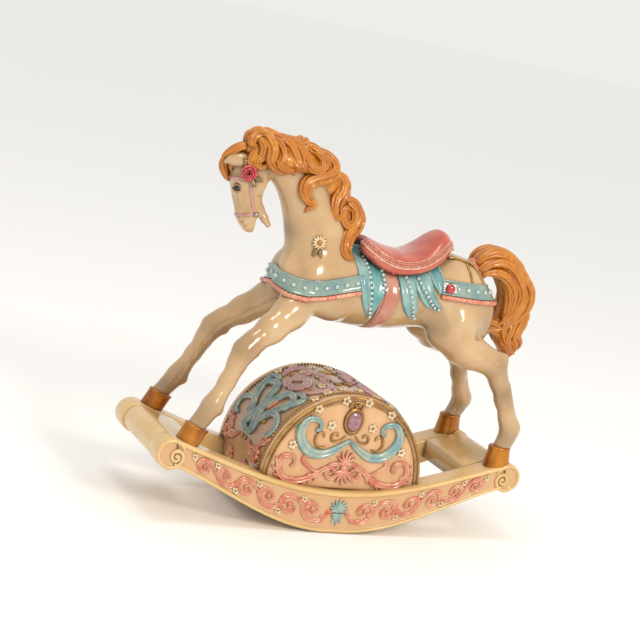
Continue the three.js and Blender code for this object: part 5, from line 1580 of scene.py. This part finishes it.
def rose(pile, chart, radius):
    """Petals as thin curled sheets: each spans an arc of angle, leans out and rolls over at its
    lip, in four rings that open from the bud outwards."""
    across, down = np.linspace(-1, 1, 11)[None], np.linspace(0, 1, 7)[:, None]
    for ring, (count, foot, lip, tall, span) in enumerate(((2, 0.06, 0.16, 1.12, 100), (3, 0.12, 0.36, 1.04, 72),
                                                           (4, 0.2, 0.62, 0.86, 58), (5, 0.3, 1.0, 0.56, 50))):
        for k in range(count):
            angle = np.radians(360 * k / count + 40 * ring + span * across)
            reach = radius * (foot + (lip - foot) * down**1.5 * (1 - 0.22 * across**4))
            height = radius * (tall * np.sin(1.9 * down) * (1 - 0.3 * across**2) - 0.1)
            inner = chart(reach * np.cos(angle), reach * np.sin(angle), height)
            outer = chart((reach + 0.16) * np.cos(angle), (reach + 0.16) * np.sin(angle), height + 0.05)
            pile.rings(np.concatenate([inner, outer[:, ::-1]], 1))


eye_paint = enamel("eye_paint", (34, 16, 10), (58, 30, 16), (8, 3, 2), 0.6, 0.001, 400, 0.12, coat=0.25)
lid_paint = enamel("lid_paint", (176, 140, 108), (150, 112, 82), (70, 40, 20), 0.7, 0.002, 120, 0.2)
strap_pink = enamel("bridle_paint", (220, 166, 160), (206, 146, 146), (120, 66, 66), 0.7, 0.002, 120, 0.2,
                    coat=0.7)
rose_red = enamel("rose_paint", (226, 70, 84), (238, 104, 108), (120, 10, 26), 0.9, 0.0016, 160, 0.22, coat=0.5)
leaf_bronze = enamel("leaf_bronze", (160, 136, 84), (128, 112, 66), (60, 44, 14), 0.85, 0.0014, 200, 0.3,
                     metallic=0.35)
silver = enamel("stud_silver", (206, 200, 190), (180, 172, 160), (70, 60, 50), 0.6, 0.001, 200, 0.15,
                metallic=0.9)
daisy_cream = enamel("daisy_paint", (250, 232, 200), (244, 208, 168), (170, 104, 50), 0.8, 0.0014, 200, 0.25)
orange = enamel("daisy_heart", (222, 150, 60), (200, 120, 40), (110, 52, 10), 0.8, 0.001, 300, 0.3)

EYE, EYE_HALF = np.array([-75.4, 6.0, 166.4]), (2.3, 1.6, 2.0)
LID_BOWS = (1.9, -1.6)         # how far the upper and the lower lid arch
# spots (x, z) of the cheek strap, from the brow to the bit
CHEEK_STRAP = [(-70.4, 174.6), (-68.6, 167.4), (-66.2, 160.4), (-63.9, 155.4)]
# middle (x, z), slope in degrees and half width of the brow band and the noseband
HEAD_BANDS = [((-70.6, 172), -6, 0.95), ((-64.6, 155.0), -14, 0.8)]
ROSE_SPOT, ROSE_RADIUS = (-71.2, 175.6), 4.0
STUD_SPOT = (-63.6, 155.0)
STRAP_HEIGHT = 0.55
HEAD_REACH = 18.0              # millimetres outside the head where lines of sight start

eyes, lids, bridle, leaves = Pile(), Pile(), Pile(), Pile()
for hand, side in HANDS:
    hand_side = [1, side, 1]
    ellipsoid(eyes, EYE * hand_side, EYE_HALF)
    for bow in LID_BOWS:
        rim = EYE + [(-2.3, -0.1, -0.3), (-1.3, 1.0, 0.75 * bow), (0, 1.4, bow), (1.3, 1.1, 0.7 * bow),
                     (2.4, 0.3, -0.3)]
        cord(lids, on_head(rim * hand_side), 0.42, 50, 30, 10, 0.0)
    # cheek strap, strap over the poll, brow band and noseband
    x, z = smooth_path(CHEEK_STRAP, 12).T
    head_strap(bridle, np.stack([x, np.full(12, side * HEAD_REACH), z], -1),
               np.stack([x, np.zeros(12), z], -1), 0.8, STRAP_HEIGHT)
    turn = np.radians(np.linspace(0, 92, 12))
    for middle, tilt, half_width in HEAD_BANDS:
        slope = np.array([-np.cos(np.radians(tilt)), 0, np.sin(np.radians(tilt))])
        ends = np.broadcast_to([middle[0], 0, middle[1]], (12, 3))
        way = np.outer(np.sin(turn), slope) + np.outer(np.cos(turn), [0, side, 0])
        head_strap(bridle, ends + HEAD_REACH * way, ends, half_width, STRAP_HEIGHT)
    ends = np.broadcast_to([-69.0, 0, 178.0], (12, 3))
    way = np.outer(np.sin(turn), [0.26, 0, 0.97]) + np.outer(np.cos(turn), [0, side, 0])
    head_strap(bridle, ends + HEAD_REACH * way, ends, 0.9, STRAP_HEIGHT)

    ear, bloom, stud = Pile(), Pile(), Pile()
    path = on_head([(-68.9, side * 5.2, 180.4), (-72.4, side * 6.8, 181.2), (-76.9, side * 7.6, 181.2),
                    (-81.2, side * 7.2, 180.0), (-84.4, side * 6.4, 178.0)])
    line = smooth_path(path, 34)
    t = np.linspace(0, 1, 34)
    run = unit(np.gradient(line, axis=0))
    out = unit(np.cross(np.cross(run, [0, side, 0.35]), run))
    across = unit(np.cross(out, run))
    wide = np.interp(t, [0, 0.12, 0.42, 0.75, 0.94, 1], [1.8, 3.0, 4.1, 3.1, 1.1, 0.15])
    cup = np.array([(-1, 0.75), (-0.85, 1.05), (-0.5, 0.55), (0, 0.2), (0.5, 0.55), (0.85, 1.05), (1, 0.75),
                    (0.8, -0.1), (0.4, -0.75), (0, -0.95), (-0.4, -0.75), (-0.8, -0.1)])
    ear.rings(line[:, None] + across[:, None] * (wide[:, None] * cup[:, 0])[..., None]
              + -out[:, None] * (np.minimum(wide, 1.6)[:, None] * cup[:, 1])[..., None])
    ear.piece(f"ear_{hand}_leaf", ivory, "ivory_resin", f"ear_{hand}")

    chart = head_chart(ROSE_SPOT, side, 0.6)
    rose(bloom, chart, ROSE_RADIUS)
    bloom.piece(f"rose_{hand}_bloom", rose_red, "rose_resin", f"rose_{hand}")
    for heading, reach in ((112, 2.6), (76, 2.8), (-28, 3.0), (-62, 2.8)):
        root = np.array([np.cos(np.radians(heading)), np.sin(np.radians(heading))]) * reach
        leaf(leaves, chart, root, heading, 5.4, 1.5, 1.0, 14)
    mound(stud, head_chart(STUD_SPOT, side, 0.4), (0, 0), 1.2, 1.2, 20)
    stud.piece(f"bit_stud_{hand}_dome", silver, "steel_parts", f"bit_stud_{hand}")

    daisy, heart = Pile(), Pile()
    neck_line = seen_line([(-35.5, 146.7), (-31.5, 146.7), (-27.5, 146.7)], side, 0.2, 12)
    chart, length = path_chart(*neck_line)
    middle = (length / 2, 0)
    for k in range(12):
        heading = 30 * k
        root = np.array(middle) + 0.9 * np.array([np.cos(np.radians(heading)), np.sin(np.radians(heading))])
        leaf(daisy, chart, root, heading, 3.1, 0.85, 1.1, 4)
    mound(heart, chart, middle, 1.3, 1.7, 16)
    sign = -np.sign(neck_line[2][5, 2])       # leaves hang below the flower
    for heading, length_mm in ((68, 5.6), (104, 5.0)):
        leaf(leaves, chart, (middle[0] + (0.6 if heading < 90 else -0.6), sign * 3.0), sign * heading, length_mm,
             1.5, 0.9, 10)
    daisy.piece(f"neck_daisy_{hand}_petals", daisy_cream, "white_resin", f"neck_daisy_{hand}")
    heart.piece(f"neck_daisy_{hand}_heart", orange, "gold_paint")
eyes.piece("eyes", eye_paint, "bronze_paint")
lids.piece("eyelids", lid_paint, "ivory_resin")
bridle.piece("bridle_straps", strap_pink, "pink_resin", "bridle")
leaves.piece("flower_leaves", leaf_bronze, "bronze_paint")


# ---- Base plate and wind-up movement -----------------------------------------------------------
# Under the drum: a painted base plate with four screws, and the brass and steel musical movement
# with its butterfly key. These keep their machined shapes and get their metals here.
def metal(name, base, worn, roughness, brushed):
    """Bare metal: a noise stretched by the brushed scale mixes base and worn, and lifts the grain."""
    material = bpy.data.materials.new(name)
    material.use_nodes = True
    nodes, links = material.node_tree.nodes, material.node_tree.links
    shader = nodes["Principled BSDF"]
    place, stretch, grain, tone, rough, bump = [nodes.new(kind) for kind in (
        "ShaderNodeTexCoord", "ShaderNodeMapping", "ShaderNodeTexNoise", "ShaderNodeValToRGB",
        "ShaderNodeMapRange", "ShaderNodeBump")]
    stretch.inputs["Scale"].default_value = brushed
    grain.inputs["Scale"].default_value = 300.0
    grain.inputs["Detail"].default_value = 6.0
    tone.color_ramp.elements[0].position, tone.color_ramp.elements[1].position = 0.3, 0.7
    tone.color_ramp.elements[0].color, tone.color_ramp.elements[1].color = (*base, 1), (*worn, 1)
    rough.inputs["To Min"].default_value, rough.inputs["To Max"].default_value = roughness, roughness + 0.16
    bump.inputs["Strength"].default_value = 0.15
    bump.inputs["Distance"].default_value = 0.0002
    links.new(place.outputs["Object"], stretch.inputs["Vector"])
    links.new(stretch.outputs["Vector"], grain.inputs["Vector"])
    links.new(grain.outputs["Fac"], tone.inputs["Fac"])
    links.new(grain.outputs["Fac"], rough.inputs["Value"])
    links.new(grain.outputs["Fac"], bump.inputs["Height"])
    links.new(tone.outputs["Color"], shader.inputs["Base Color"])
    links.new(rough.outputs["Result"], shader.inputs["Roughness"])
    links.new(bump.outputs["Normal"], shader.inputs["Normal"])
    shader.inputs["Metallic"].default_value = 1.0
    return material


brass = metal("movement_brass", paint(196, 152, 84), paint(222, 184, 116), 0.22, (1, 8, 1))
steel = metal("movement_steel", paint(168, 168, 166), paint(206, 206, 204), 0.18, (8, 1, 1))
METAL_NODES = {
    brass: ("movement_bedplate", "spring_barrel", "drive_wheel", "pinned_cylinder", "cylinder_frame",
            "idler_wheel", "governor_frame"),
    steel: ("base_screw_1", "base_screw_2", "base_screw_3", "base_screw_4", "bed_screw_1", "bed_screw_2",
            "mainspring", "winding_key", "comb", "comb_block", "governor_fan"),
    taupe: ("base_plate",),
}
for finish, names in METAL_NODES.items():
    for name in names:
        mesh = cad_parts[name].data
        if not mesh.materials:
            mesh.materials.append(finish)
        for index in range(len(mesh.materials)):
            mesh.materials[index] = finish
